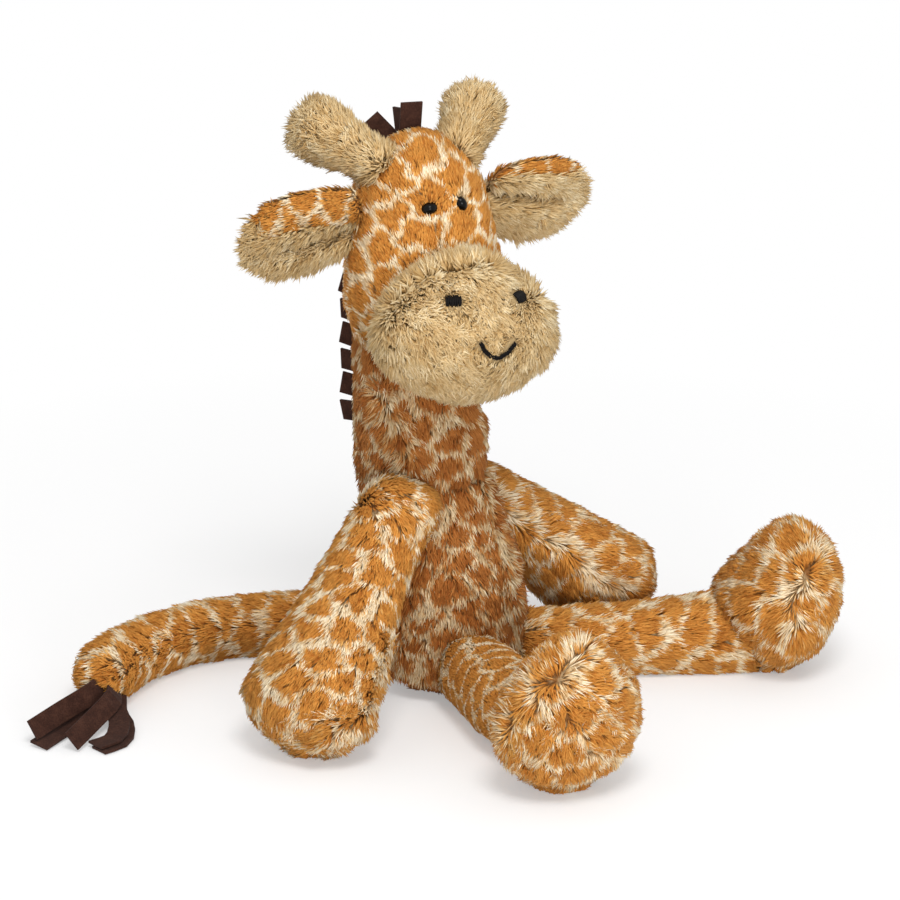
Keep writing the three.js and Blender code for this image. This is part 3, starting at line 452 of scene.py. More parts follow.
def seen_at(pixel, tree):
    """Where the photograph's pixel meets a skin, and the way that the skin faces there."""
    across = (pixel[0] - PHOTO_SIDE / 2) / PHOTO_SIDE * SENSOR_WIDTH / LENS
    rise = (PHOTO_SIDE / 2 - pixel[1]) / PHOTO_SIDE * SENSOR_WIDTH / LENS
    ray = unit(view_right * across + view_up * rise - view_back)
    place, normal, _, _ = tree.ray_cast(Vector(view_place), Vector(ray))
    if place is None:
        place, normal, _, _ = tree.find_nearest(Vector(view_place + ray * VIEW_DISTANCE))
    return np.array(place), np.array(normal)


def seen_line(name, pixels, lift=0):
    """Where a line of the photograph's pixels lies on a form's skin. What stands up from there by the
    lift is what the pixels show."""
    line = []
    for pixel in pixels:
        place, normal = seen_at(pixel, trees[name])
        ray = unit(place - view_place)
        aside = (normal - ray * (normal @ ray)) * lift
        line.append(trees[name].find_nearest(Vector(place - aside))[0])
    return np.array(line)


# Where things are, from the frame

def middle(node_name):
    low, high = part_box(node_name)
    return np.array((low + high) / 2)


hinges = {joint["child"]: np.array(joint["pos_m"], float) for joint in frame["joints"]}
upward = np.array([0.0, 0.0, 1.0])
face = unit((middle("muzzle") - hinges["head"]) * [1, 1, 0])
leftward = np.cross(upward, face)

# How far a nap spreads on the head and on a limb, and how far round its root the right arm's turns
# back over its fold
HEAD_SPREAD = 0.5
LIMB_SPREAD = 0.4
FOLD_REACH = 13 * MM
FOLD_NAP = upward * 2.08 - view_back * 1.28 + view_right * 1.92


def away_from_seam(places, normals):
    """Stands for a nap that spreads from the middle of the form's own seam."""
    return np.zeros_like(places)


def head_nap(places, normals):
    """Up from the nose, over the crown and down the back of the head."""
    return unit(np.cross(normals, leftward) + unit(places - middle("muzzle")) * HEAD_SPREAD)


def muzzle_nap(places, normals):
    """Away from its seam over the bridge of the nose: down over the nose, and up at the head."""
    return unit(gaps_to(places, seen_line("muzzle", MUZZLE_SEAM)))


def limb_nap(body):
    """Along a limb from where it is sewn on, spreading a little."""
    def nap(places, normals):
        gap = places - hinges[body]
        return unit(gap.mean(axis=0)) + unit(gap) * LIMB_SPREAD
    return nap


def arm_nap(places, normals):
    """Down the right arm, but back over the broad fold that it hangs from."""
    fold = near(np.linalg.norm(places - hinges["arm_right"], axis=1, keepdims=True), FOLD_REACH)
    return limb_nap("arm_right")(places, normals) + FOLD_NAP * fold


# Pile

# A fibre's corners, and for each of them how far it takes the print of its root, how far it steps
# aside on the tone map and how high it lies there, which sets the painted shade at its root
FIBRE_CORNERS = [(0, 0, -0.02), (-0.5, 0.55, 0.1), (0.5, 0.55, 0.1), (0, 1, 0)]
FIBRE_FACES = [(0, 2, 1), (1, 2, 3), (0, 1, 3), (0, 3, 2)]
FIBRE_DYES = np.array([0.4, 0.9, 0.9, 1.0])
FIBRE_SIDES = np.array([0.0, -0.02, 0.02, 0.0])
FIBRE_DEPTHS = np.array([0.12, 0.6, 0.6, 0.92])


def fibre_object():
    """One fibre, a slim closed kite bent once, one unit long and one wide."""
    mesh = bpy.data.meshes.new("fibre")
    mesh.from_pydata(FIBRE_CORNERS, [], FIBRE_FACES)
    mesh.shade_smooth()
    return new_object("fibre", mesh)


# How far a fibre strays and rolls, and how its length, its width and its tuft's length vary
STRAYS = (-1.0, 1.0)
ROLLS = (-0.6, 0.6)
LENGTH_SHARES = (0.7, 1.1)
WIDTH_SHARES = (0.7, 1.3)
TUFT_LENGTH_SHARES = (0.85, 1.15)
FIRST_SEED = 11

# What the pile's tree takes in, by the kind of socket, and what it reads off its skin
PILE_INPUTS = {
    "Geometry": ["Skin"],
    "Object": ["Fibre"],
    "Material": ["Finish"],
    "Float": [
        "Fibres per square metre", "Length", "Width", "Lift", "Lift spread", "Stray", "Tuft size",
        "Tuft pull",
    ],
    "Int": ["Seed"],
}
PILE_ATTRIBUTES = {"FLOAT": ["cover", "pile", "stand"], "FLOAT_VECTOR": ["nap", "facing"]}


def new_tree(name, inputs, attributes):
    """A Geometry Nodes tree with these inputs, and what it is given: the inputs' values and the
    attributes of its mesh."""
    tree = bpy.data.node_groups.new(name, "GeometryNodeTree")
    for kind, titles in inputs.items():
        for title in titles:
            tree.interface.new_socket(name=title, in_out="INPUT", socket_type=f"NodeSocket{kind}")
    tree.interface.new_socket(name="Grown", in_out="OUTPUT", socket_type="NodeSocketGeometry")
    given = dict(add(tree, "NodeGroupInput").outputs.items())
    for kind, titles in attributes.items():
        for title in titles:
            node = add(tree, "GeometryNodeInputNamedAttribute", {"data_type": kind}, {"Name": title})
            given[title] = node.outputs["Attribute"]
    return tree, given


def end_tree(tree, instances, finish):
    """Ends a tree: its instances become one plain mesh with their material."""
    plain = add(tree, "GeometryNodeRealizeInstances", inputs={"Geometry": instances})
    finished = add(tree, "GeometryNodeSetMaterial", inputs={"Geometry": plain, "Material": finish})
    add(tree, "NodeGroupOutput", inputs={"Grown": finished})


def pile_tree():
    """Plants fibres on a skin. Each one leans along the nap, is pulled towards the middle of its tuft
    and strays a little, and the skin's cover and pile attributes thin and shorten them."""
    tree, given = new_tree("planted_pile", PILE_INPUTS, PILE_ATTRIBUTES)

    # What is drawn anew for each fibre, each draw from a seed of its own
    spread = given["Lift spread"]
    less = add(tree, "ShaderNodeMath", {"operation": "MULTIPLY"}, {0: spread, 1: -1.0})
    ranges = [STRAYS, STRAYS, STRAYS, (less, spread), ROLLS, LENGTH_SHARES, WIDTH_SHARES]
    drawn = []
    for step, (low, high) in enumerate(ranges):
        seed = add(tree, "ShaderNodeMath", {"operation": "ADD"}, {0: given["Seed"], 1: FIRST_SEED + step})
        inputs = {2: low, 3: high, "Seed": seed}
        drawn.append(add(tree, "FunctionNodeRandomValue", {"data_type": "FLOAT"}, inputs).outputs[1])
    stray_x, stray_y, stray_z, turned, roll, longer, wider = drawn

    density = add(
        tree, "ShaderNodeMath", {"operation": "MULTIPLY"},
        {0: given["Fibres per square metre"], 1: given["cover"]},
    )
    planted = add(
        tree, "GeometryNodeDistributePointsOnFaces", {"distribute_method": "RANDOM"},
        {"Mesh": given["Skin"], "Density": density, "Seed": given["Seed"]},
    ).outputs

    # Tufts are the cells of a Voronoi pattern
    place = add(tree, "GeometryNodeInputPosition")
    scale = add(tree, "ShaderNodeMath", {"operation": "DIVIDE"}, {0: 1.0, 1: given["Tuft size"]})
    tufts = add(
        tree, "ShaderNodeTexVoronoi", {"voronoi_dimensions": "3D", "feature": "F1"},
        {"Vector": place, "Scale": scale},
    ).outputs
    tuft = add(tree, "ShaderNodeSeparateXYZ", inputs={0: tufts["Color"]}).outputs

    # Each fibre leans along the nap, pushed towards its tuft's middle, its tuft's way and its own way
    take = {"operation": "SUBTRACT"}
    inward = add(tree, "ShaderNodeVectorMath", take, {0: tufts["Position"], 1: place})
    swirl = add(tree, "ShaderNodeVectorMath", take, {0: tufts["Color"], 1: (0.5, 0.5, 0.5)})
    strayed = add(tree, "ShaderNodeCombineXYZ", inputs={0: stray_x, 1: stray_y, 2: stray_z})
    pull = given["Tuft pull"]
    pull_in = add(tree, "ShaderNodeMath", {"operation": "DIVIDE"}, {0: pull, 1: given["Tuft size"]})
    lean = given["nap"]
    for way, share in ((inward, pull_in), (swirl, pull), (strayed, given["Stray"])):
        push = add(tree, "ShaderNodeVectorMath", {"operation": "SCALE"}, {0: way, 3: share})
        lean = add(tree, "ShaderNodeVectorMath", {"operation": "ADD"}, {0: lean, 1: push})
    rotation = add(
        tree, "FunctionNodeAxesToRotation", {"primary_axis": "Z", "secondary_axis": "Y"},
        {"Primary Axis": planted["Normal"], "Secondary Axis": lean},
    )
    lift = given["Lift"]
    for more in (turned, given["stand"]):
        lift = add(tree, "ShaderNodeMath", {"operation": "ADD"}, {0: lift, 1: more})
    angles = add(tree, "ShaderNodeCombineXYZ", inputs={0: lift, 1: roll, 2: 0.0})
    raised = add(tree, "FunctionNodeEulerToRotation", inputs={0: angles})
    rotation = add(
        tree, "FunctionNodeRotateRotation", {"rotation_space": "LOCAL"},
        {"Rotation": rotation, "Rotate By": raised},
    )

    # A tuft's fibres are alike in length
    least, most = TUFT_LENGTH_SHARES
    tuft_share = add(tree, "ShaderNodeMapRange", inputs={"Value": tuft[1], "To Min": least, "To Max": most})
    long = given["Length"]
    for share in (longer, given["pile"], tuft_share):
        long = add(tree, "ShaderNodeMath", {"operation": "MULTIPLY"}, {0: long, 1: share})
    wide = add(tree, "ShaderNodeMath", {"operation": "MULTIPLY"}, {0: given["Width"], 1: wider})
    size = add(tree, "ShaderNodeCombineXYZ", inputs={0: wide, 1: long, 2: long})
    fibre = add(tree, "GeometryNodeObjectInfo", inputs={"Object": given["Fibre"]}).outputs["Geometry"]
    pile = add(tree, "GeometryNodeInstanceOnPoints", inputs={
        "Points": planted["Points"], "Instance": fibre, "Rotation": rotation, "Scale": size,
    })
    stored = {"root": place, "facing": given["facing"], "tuft": tuft[0]}
    for name, value in stored.items():
        kind = "FLOAT" if name == "tuft" else "FLOAT_VECTOR"
        pile = add(
            tree, "GeometryNodeStoreNamedAttribute", {"data_type": kind, "domain": "INSTANCE"},
            {"Geometry": pile, "Name": name, "Value": value},
        )
    end_tree(tree, pile, given["Finish"])
    return tree


def grow(tree, mesh, inputs):
    """The plain mesh that a Geometry Nodes tree makes on a copy of a mesh."""
    holder = new_object("holder", mesh.copy())
    modifier = holder.modifiers.new("grown", "NODES")
    modifier.node_group = tree
    for item in tree.interface.items_tree:
        if item.in_out == "INPUT" and item.name in inputs:
            modifier[item.identifier] = inputs[item.name]
    made = evaluated_mesh(holder)
    holder.modifiers.remove(modifier)
    bpy.data.objects.remove(holder)
    return made


def read_attribute(mesh, name, width):
    data = mesh.attributes[name].data
    values = np.zeros(len(data) * width, np.float32)
    data.foreach_get("vector" if width == 3 else "value", values)
    return values.reshape(-1, width) if width > 1 else values


# How far a fibre is shaded as its own shape, how its tone varies by its tuft and by itself, how its
# dye varies, and how far both stay off the tone map's edges
FIBRE_SHADING = 0.6
TUFT_SHADE = 0.3
TUFT_SHADE_MIDDLE = 0.6
STRAND_SHADE = 0.12
DYE_NOISE = 0.07
DYE_EDGE = 0.03
TONE_EDGE = 0.02


def finish_pile(mesh, print_of, seed):
    """Lays each fibre out on the tone map, across by its print, which is on its outer end most, and up
    by its depth, which sets its painted shade. Turns its shading part of the way to its skin's, as
    dense pile scatters light. The bake's own map is the tone map too, so that fibres of one colour
    share their texels."""
    corners = len(FIBRE_CORNERS)
    roots = read_attribute(mesh, "root", 3)[::corners].astype(float)
    tufts = read_attribute(mesh, "tuft", 1)[::corners]
    rng = np.random.default_rng(seed)
    count = len(roots)
    across = np.clip(print_of(roots) + rng.normal(0, DYE_NOISE, count), DYE_EDGE, 1 - DYE_EDGE)
    shade = TUFT_SHADE * (tufts - TUFT_SHADE_MIDDLE) + rng.normal(0, STRAND_SHADE, count)
    u = across[:, None] * FIBRE_DYES + FIBRE_SIDES
    v = np.clip(FIBRE_DEPTHS + shade[:, None], TONE_EDGE, 1 - TONE_EDGE)
    tones = np.stack([u, v], axis=2).reshape(-1, 2)
    order = np.zeros(len(mesh.loops), np.int32)
    mesh.loops.foreach_get("vertex_index", order)
    for name in ("tone", "OFBake"):
        layer = mesh.uv_layers.new(name=name)
        layer.data.foreach_set("uv", tones[order].astype(np.float32).ravel())
    facing = unit(read_attribute(mesh, "facing", 3)) * (1 - FIBRE_SHADING)
    facing = unit(facing + normals_of(mesh) * FIBRE_SHADING)
    for name in ("root", "tuft", "facing"):
        mesh.attributes.remove(mesh.attributes[name])
    places = points_of(mesh)
    places[:, 2] = np.maximum(places[:, 2], FLOOR_CLEARANCE)
    move_points(mesh, places)
    mesh.normals_split_custom_set_from_vertices(facing.tolist())


fibre = fibre_object()
planted_pile = pile_tree()

# Coats: how each kind of pile grows, and how deep it stands over its skin. It is short on the head,
# shaggier on the body and limbs, and the beige pile is brushed up.
SMOOTH = {
    "Length": 4.8 * MM, "Width": 0.44 * MM, "Lift": math.radians(21), "Lift spread": math.radians(5),
    "Stray": 0.14, "Tuft size": 3.0 * MM, "Tuft pull": 0.3, "Fibres per square metre": 3.5e6,
    "Depth": 2.0 * MM,
}
SHAGGY = {
    "Length": 6.2 * MM, "Width": 0.45 * MM, "Lift": math.radians(25), "Lift spread": math.radians(7),
    "Stray": 0.15, "Tuft size": 4.0 * MM, "Tuft pull": 0.42, "Fibres per square metre": 3.4e6,
    "Depth": 3.0 * MM,
}
THIGH_COAT = dict(SMOOTH, **{
    "Length": 4.4 * MM, "Lift": math.radians(13), "Tuft pull": 0.15, "Fibres per square metre": 4.4e6,
})
TORSO_COAT = dict(SHAGGY, **{"Width": 0.5 * MM, "Fibres per square metre": 2.6e6})
FLUFFY = {
    "Length": 7.4 * MM, "Width": 0.46 * MM, "Lift": math.radians(41), "Lift spread": math.radians(9),
    "Stray": 0.2, "Tuft size": 2.6 * MM, "Tuft pull": 0.85, "Fibres per square metre": 4.2e6,
    "Depth": 4.0 * MM,
}
MUZZLE_COAT = dict(FLUFFY, **{"Lift": math.radians(33)})
PRINTED = (printed_pile, printed_backing, "patch_fur")
# The printed pile darkened by painted shade, for the forms that hang in the head's shade
SHADED_PRINTED = (shaded_print_pile, printed_backing, "patch_fur")
BEIGE = (beige_pile, beige_backing, "beige_fur")


def stuffed(body, coat, finish, nap, spacing=15, seam=(), squat=PRINT_SQUAT):
    """What a form is dressed in. The spacing of its print is in millimetres, and its seam is a line
    of the photograph's pixels."""
    return {
        "body": body, "coat": coat, "finish": finish, "nap": nap, "spacing": spacing, "seam": seam,
        "squat": squat,
    }


# Seams that the photograph shows
NECK_SEAM = [(383, 398), (389, 410), (392, 420), (400, 435), (404, 452), (407, 467)]
CHEST_SEAM = [(478, 447), (481, 480), (492, 520), (510, 590), (516, 640)]
ARM_RIGHT_SEAM = [(316, 748), (337, 727), (358, 720), (373, 690), (384, 650)]
ARM_LEFT_SEAM = [(491, 498), (518, 526), (553, 540), (575, 558), (596, 575), (625, 587)]
FOOT_RIGHT_SEAM = [(583, 652), (581, 658), (556, 680), (510, 728), (498, 750)]
FOOT_LEFT_SEAM = [(819, 526), (814, 554), (808, 569), (802, 579), (793, 603), (796, 627)]
HORN_RIGHT_SEAM = [(300, 133), (304, 128), (309, 119), (314, 110)]
MUZZLE_SEAM = [(388, 318), (404, 300), (425, 284), (452, 274), (490, 271), (515, 279), (530, 300)]

# How each of the frame's stuffed forms is dressed
FORMS = {
    # The torso and neck wear the printed pile darkened by painted shade
    "torso": stuffed("torso", TORSO_COAT, SHADED_PRINTED, along((0, 0, -1)), 10.5, CHEST_SEAM),
    "neck": stuffed("neck", SHAGGY, SHADED_PRINTED, along((0, 0, -1)), 11.5, NECK_SEAM),
    "head": stuffed("head", SMOOTH, PRINTED, head_nap, 12.3),
    "muzzle": stuffed("head", MUZZLE_COAT, BEIGE, muzzle_nap, seam=MUZZLE_SEAM),
    "horn_right": stuffed("horn_right", FLUFFY, BEIGE, limb_nap("horn_right"), seam=HORN_RIGHT_SEAM),
    "horn_left": stuffed("horn_left", FLUFFY, BEIGE, limb_nap("horn_left")),
    "arm_right": stuffed("arm_right", SHAGGY, PRINTED, arm_nap, 12.5, ARM_RIGHT_SEAM),
    "arm_left": stuffed("arm_left", SHAGGY, PRINTED, limb_nap("arm_left"), 12.5, ARM_LEFT_SEAM),
    "leg_right": stuffed("leg_right", THIGH_COAT, PRINTED, limb_nap("leg_right"), 13, squat=2),
    "leg_left": stuffed("leg_left", SHAGGY, PRINTED, limb_nap("leg_left"), 13),
    "foot_right": stuffed("leg_right", SHAGGY, PRINTED, away_from_seam, 12, FOOT_RIGHT_SEAM),
    "foot_left": stuffed("leg_left", SHAGGY, PRINTED, away_from_seam, 12, FOOT_LEFT_SEAM),
    "tail": stuffed("tail", SHAGGY, PRINTED, limb_nap("tail"), 12.5),
    "ear_back_right": stuffed("ear_right", SMOOTH, PRINTED, limb_nap("ear_right"), 13),
    "ear_back_left": stuffed("ear_left", SMOOTH, PRINTED, limb_nap("ear_left"), 13),
    "ear_lining_right": stuffed("ear_right", FLUFFY, BEIGE, limb_nap("ear_right")),
    "ear_lining_left": stuffed("ear_left", FLUFFY, BEIGE, limb_nap("ear_left")),
}


# Eyes, whose places the head's coat needs

EYE_DIAMETER = 7 * MM
EYE_HEIGHT = 3.8 * MM
SHANK_DIAMETER = 2.4 * MM

# The pile beside each eye lets an oval of it be seen: how flat, how far down and how it slants
EYE_FLATNESS = 0.74
EYE_DROP = 1.3 * MM
EYE_SLANTS = {"eye_right": math.radians(13), "eye_left": math.radians(-40)}

# The socket and the brow in the head's skin
SOCKET_DEPTH = 0.3 * MM
SOCKET_REACH = 6.5 * MM
BROW_SWELL = 2.4 * MM
BROW_REACH = 4.0 * MM
BROW_RISE = 6.2 * MM

# The pile by an eye, over it and then elsewhere: how much shorter it is, and how strongly it fans out.
# It is denser over the eye, where a point's rise is more than a share of its reach.
EYE_SHORTENING = (0.1, 0.45)
EYE_FAN = (4.0, 0.4)
EYE_FAN_REACH = SOCKET_REACH * 1.3
BROW_COVER = 1.8
BROW_SLOPE = 0.2


def eye_seat(node_name):
    """The middle of an eye's oval, the way that it looks, from its shank, and the way across its oval."""
    mesh = merged_copy(node_name)
    places = points_of(mesh)
    bpy.data.meshes.remove(mesh)
    centre = places.mean(axis=0)
    axis = np.linalg.svd(places - centre, full_matrices=False)[2][0]
    axis *= np.sign((centre - middle("head")) @ axis)
    top = (places @ axis).max()
    on_axis = centre - axis * (centre @ axis)
    slant = EYE_SLANTS[node_name]
    across = unit(np.cross(view_right * math.cos(slant) + view_up * math.sin(slant), axis))
    return on_axis + axis * (top - EYE_HEIGHT) - view_up * EYE_DROP, axis, across


eye_seats = {name: eye_seat(name) for name in ("eye_right", "eye_left")}


# Ears: one stuffed leaf each, whose front and tip are lined in beige

# How much of each ear's width is lined, at its root and further out, how fast the lining widens,
# where the lined tip starts and how far round it the lining goes
EAR_LINED_SHARES = {"right": (0.45, 0.62), "left": (0.74, 0.81)}
EAR_LINING_RISE = 2.2
EAR_TIP_SHARE = 0.88
EAR_TIP_FRONT = -0.7
LINING_THICKNESS = 1.2 * MM

# Where across each ear its crease runs, where along it the crease ends and how fast it fades there,
# and how much shorter its pile is
EAR_CREASE_SHARES = {"right": 0.38, "left": 0.55}
EAR_CREASE_DEPTH = 9 * MM
EAR_CREASE_WIDTH = 3.2 * MM
EAR_CREASE_END = 0.85
EAR_CREASE_FADE = 4
CREASE_SHORTENING = 0.75


def ear_axes(side, places):
    """An ear's root, and the ways along it, across it and out of its lining, all one unit long."""
    root = hinges[f"ear_{side}"]
    reach = places - root
    length = unit(reach[np.argmax(np.linalg.norm(reach, axis=1))])
    out = middle(f"ear_lining_{side}") - middle(f"ear_back_{side}")
    out = unit(out - length * (out @ length))
    across = np.cross(length, out)
    return root, length, across * np.sign(across[2]), out


def shares_of(values):
    return (values - values.min()) / (values.max() - values.min())


def ear_skin(side):
    """The whole ear's skin, creased lengthwise down its lining, and each point's shares of lining and
    of crease."""
    mesh = skin_of([f"ear_back_{side}", f"ear_lining_{side}"], SHAGGY["Depth"])
    places, normals = points_of(mesh), normals_of(mesh)
    root, length, across, out = ear_axes(side, places)
    along_share = shares_of((places - root) @ length)
    width_share = shares_of((places - root) @ across)
    front = normals @ out
    crease_gap = (width_share - EAR_CREASE_SHARES[side]) * np.ptp((places - root) @ across)
    dip = near(crease_gap, EAR_CREASE_WIDTH) * np.clip(front * 2, 0, 1)
    dip *= np.clip((EAR_CREASE_END - along_share) * EAR_CREASE_FADE, 0, 1)
    move_points(mesh, places - out * (dip * EAR_CREASE_DEPTH)[:, None])
    at_root, further = EAR_LINED_SHARES[side]
    edge = at_root + (further - at_root) * np.clip(along_share * EAR_LINING_RISE, 0, 1)
    lined = (front > 0) & (width_share < edge)
    lined |= (along_share > EAR_TIP_SHARE) & (front > EAR_TIP_FRONT)
    return mesh, lined.astype(float), dip


def lining_patch(mesh, lined):
    """The lining's own cloth: the lined part of an ear's skin, a little proud of it."""
    def strip(form):
        bare = [v for v, share in zip(form.verts, lined) if share < 0.5]
        bmesh.ops.delete(form, geom=bare, context="VERTS")

    patch = reworked(mesh.copy(), strip)
    return with_modifiers(patch, ("SOLIDIFY", {"thickness": LINING_THICKNESS, "offset": 0.5}))


# Skins filled out where sewn cloth bulges and the frame's forms don't

# The neck: how far it runs down into the torso, and over what height it widens to meet it
NECK_ROOTING = 9 * MM
NECK_BLEND = 18 * MM

# The right arm's fold: how far from the arm's root it reaches, and how far it swells and rises
SHOULDER_REACH = 24 * MM
SHOULDER_HALF = 14 * MM
SHOULDER_SWELL = 10 * MM
SHOULDER_RISE = 5 * MM

# The right thigh, the left ankle and the left heel: over what half width each swells, and how far
THIGH_HALF = 10 * MM
THIGH_RISE = 4 * MM
THIGH_SWELL = 5 * MM
ANKLE_HALF = 8 * MM
ANKLE_SWELL = 7 * MM
HEEL_HALF = 10 * MM
HEEL_REACH = 13 * MM
HEEL_SWELL = 9 * MM

# How much a horn's tip widens, and from what share of its length on
HORN_FLARE = 0.25
HORN_FLARE_START = 0.45


def girth_at(places, height):
    """How far out a form's side is from the neck's axis at a height, by the angle round the axis."""
    gap = places[np.abs(places[:, 2] - height) < SKIN_CELL * 1.5] - hinges["neck"]
    angles = np.arctan2(gap[:, 1], gap[:, 0])
    order = np.argsort(angles)
    reach = np.linalg.norm(gap[:, :2], axis=1)
    return lambda turn: np.interp(turn, angles[order], reach[order], period=2 * math.pi)


def rooted_neck(places):
    """Runs the neck's lower end on down into the torso, and brings it out flush with the torso's
    sides, so that they look like the one tube of cloth that they are."""
    seam = hinges["neck"]
    share = np.clip((middle("neck")[2] - places[:, 2]) / (middle("neck")[2] - seam[2]), 0, 1)
    places[:, 2] -= share * NECK_ROOTING
    own = girth_at(places, seam[2] + NECK_BLEND / 4)
    sides = girth_at(points_of(skins["torso"]), seam[2] - NECK_BLEND)
    gap = places - seam
    turn = np.arctan2(gap[:, 1], gap[:, 0])
    ease = np.clip(1 - gap[:, 2] / NECK_BLEND, 0, 1)
    ease = ease * ease * (3 - 2 * ease)
    wider = np.maximum((sides(turn) + SHAGGY["Depth"]) / own(turn), 1) - 1
    return places + gap * [1, 1, 0] * (ease * wider)[:, None]


def broad_shoulder(places):
    """Fills the arm's upper end out to the broad fold that it hangs from."""
    gap = places - hinges["arm_right"]
    swell = near(np.linalg.norm(gap, axis=1, keepdims=True), SHOULDER_REACH)
    beside = np.clip(gap @ view_right / SHOULDER_HALF, 0, 1)[:, None]
    return places + swell * (view_right * beside * SHOULDER_SWELL + upward * SHOULDER_RISE)


def full_thigh(places):
    """Fills the right leg out upwards and to the viewer's left, where it comes from under the torso."""
    gap = places - middle("leg_right")
    high = np.clip(gap[:, 2] / THIGH_HALF, 0, 1)[:, None]
    beside = np.clip(gap @ -view_right / THIGH_HALF, 0, 1)[:, None]
    return places + upward * high * THIGH_RISE - view_right * beside * THIGH_SWELL


def full_ankle(places):
    """Fills the left leg's top out towards the foot."""
    reach = np.linalg.norm(places - hinges["leg_left"], axis=1)
    high = np.clip((places[:, 2] - middle("leg_left")[2]) / ANKLE_HALF, 0, 1)
    return places + upward * (shares_of(reach) ** 3 * high)[:, None] * ANKLE_SWELL


def full_heel(places):
    """Fills the left foot's back out over the ankle."""
    centre = middle("foot_left")
    back = unit((hinges["leg_left"] - centre) * [1, 1, 0])
    gap = places - centre
    share = np.clip(gap @ back / HEEL_HALF, 0, 1) * near(gap[:, 2], HEEL_REACH)
    return places + back * share[:, None] * HEEL_SWELL


def flared_horn(body):
    """Widens a horn's tip, which its seam draws out flat."""
    def reshape(places):
        axis = unit(middle(body) - hinges[body])
        gap = places - hinges[body]
        run = (gap @ axis)[:, None] * axis
        share = np.clip((shares_of(gap @ axis) - HORN_FLARE_START) * 2, 0, 1)[:, None]
        return places + (gap - run) * share * HORN_FLARE
    return reshape


RESHAPED = {
    "neck": rooted_neck, "arm_right": broad_shoulder, "leg_right": full_thigh, "leg_left": full_ankle,
    "foot_left": full_heel,
    "horn_right": flared_horn("horn_right"), "horn_left": flared_horn("horn_left"),
}

skins = {}
linings = {}
creases = {}
for name, form in FORMS.items():
    part, _, side = name.rpartition("_")
    if part == "ear_back":
        skins[name], linings[side], creases[side] = ear_skin(side)
    elif part == "ear_lining":
        skins[name] = skins[f"ear_back_{side}"].copy()
    else:
        skins[name] = skin_of(
            [name], form["coat"]["Depth"], filled=name != "tail", reshape=RESHAPED.get(name)
        )

trees = {
    name: BVHTree.FromPolygons(
        [v.co for v in mesh.vertices], [tuple(p.vertices) for p in mesh.polygons]
    )
    for name, mesh in skins.items()
}


# A ray askew to every axis, and as many skins as it may cross
SKEW_RAY = Vector((0.31, 0.17, 0.94)).normalized()
MOST_CROSSINGS = 16


def inside(tree, place):
    """Whether a place is inside a closed skin: a ray out of it crosses the skin an odd number of times."""
    crossings = 0
    while crossings < MOST_CROSSINGS:
        hit = tree.ray_cast(place, SKEW_RAY)[0]
        if hit is None:
            break
        crossings += 1
        place = hit + SKEW_RAY * 0.01 * MM
    return crossings % 2 == 1


def cover_of(name):
    """1 where pile can be seen, and 0 where a neighbour hides the skin."""
    cover = np.ones(len(skins[name].vertices))
    for other in skins:
        its_low, its_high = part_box(other)
        if other == name or FORMS[other]["body"] == FORMS[name]["body"] and name.startswith("ear"):
            continue
        for i, vertex in enumerate(skins[name].vertices):
            place = vertex.co
            if any(place[k] < its_low[k] or place[k] > its_high[k] for k in range(3)):
                continue
            if trees[other].find_nearest(place)[3] > COVERED_DEPTH and inside(trees[other], place):
                cover[i] = 0
    return cover


def sink_seam(name, line, coat):
    """Dips a skin along a seam, parts its nap there and lets the pile stand longer."""
    mesh = skins[name]
    places, normals = points_of(mesh), normals_of(mesh)
    gaps = gaps_to(places + ripple(places, WAVER_SIZE, len(line)) * SEAM_WAVER, line)
    reach = np.linalg.norm(gaps, axis=1, keepdims=True)
    depth = NECK_FOLD if name == "neck" else SEAM_DEPTH
    move_points(mesh, places - normals * near(reach, SEAM_WIDTH) * depth)
    if FORMS[name]["nap"] is away_from_seam:
        coat["nap"] = unit(places - line.mean(axis=0))
    coat["nap"] += unit(gaps) * near(reach, SEAM_PARTING) * SEAM_FAN
    coat["pile"] *= 1 + SEAM_LENGTHENING * near(reach[:, 0], SEAM_PARTING)
    coat["stand"] += SEAM_STAND * near(reach[:, 0], SEAM_WIDTH)


def dress_eyes(mesh, coat):
    """Sinks the eyes' sockets, swells the brows over them, keeps pile off the eyes and fans it up from
    there."""
    places = points_of(mesh)
    for seat, axis, across in eye_seats.values():
        gap = places - seat
        reach = np.linalg.norm(stretched(gap, across, 1 / EYE_FLATNESS), axis=1)
        above = gap[:, 2] > BROW_SLOPE * reach
        coat["cover"][above & (reach < EYE_DIAMETER)] = BROW_COVER
        coat["cover"][reach < EYE_DIAMETER / 2] = 0
        coat["pile"] *= 1 - np.where(above, *EYE_SHORTENING) * near(reach, EYE_DIAMETER)
        fan = near(reach, EYE_FAN_REACH) * np.where(above, *EYE_FAN)
        coat["nap"] += unit(gap) * fan[:, None]
        deep = near(reach, SOCKET_REACH) * SOCKET_DEPTH
        deep -= near(np.linalg.norm(gap - upward * BROW_RISE, axis=1), BROW_REACH) * BROW_SWELL
        places -= axis * deep[:, None]
    move_points(mesh, places)


def clear_stitches(mesh, coat):
    """Pads the muzzle out under its stitches, and keeps its pile off them and short beside them."""
    places, normals = points_of(mesh), normals_of(mesh)
    sewn = [(places - seat[0], NOSTRIL_BARE) for seat in nostril_seats.values()]
    sewn.append((gaps_to(places, mouth_line), MOUTH_BARE))
    for gap, bare in sewn:
        reach = np.linalg.norm(gap, axis=1)
        outside = np.maximum(reach - bare, 0)
        coat["cover"][reach < bare] = 0
        coat["pile"] *= 1 - STITCH_SHORTENING * near(outside, CLEARING)
        coat["nap"] += unit(gap) * near(outside, CLEARING)[:, None] * STITCH_FAN
        places += normals * near(outside, PAD_REACH)[:, None] * STITCH_PAD
    move_points(mesh, places)


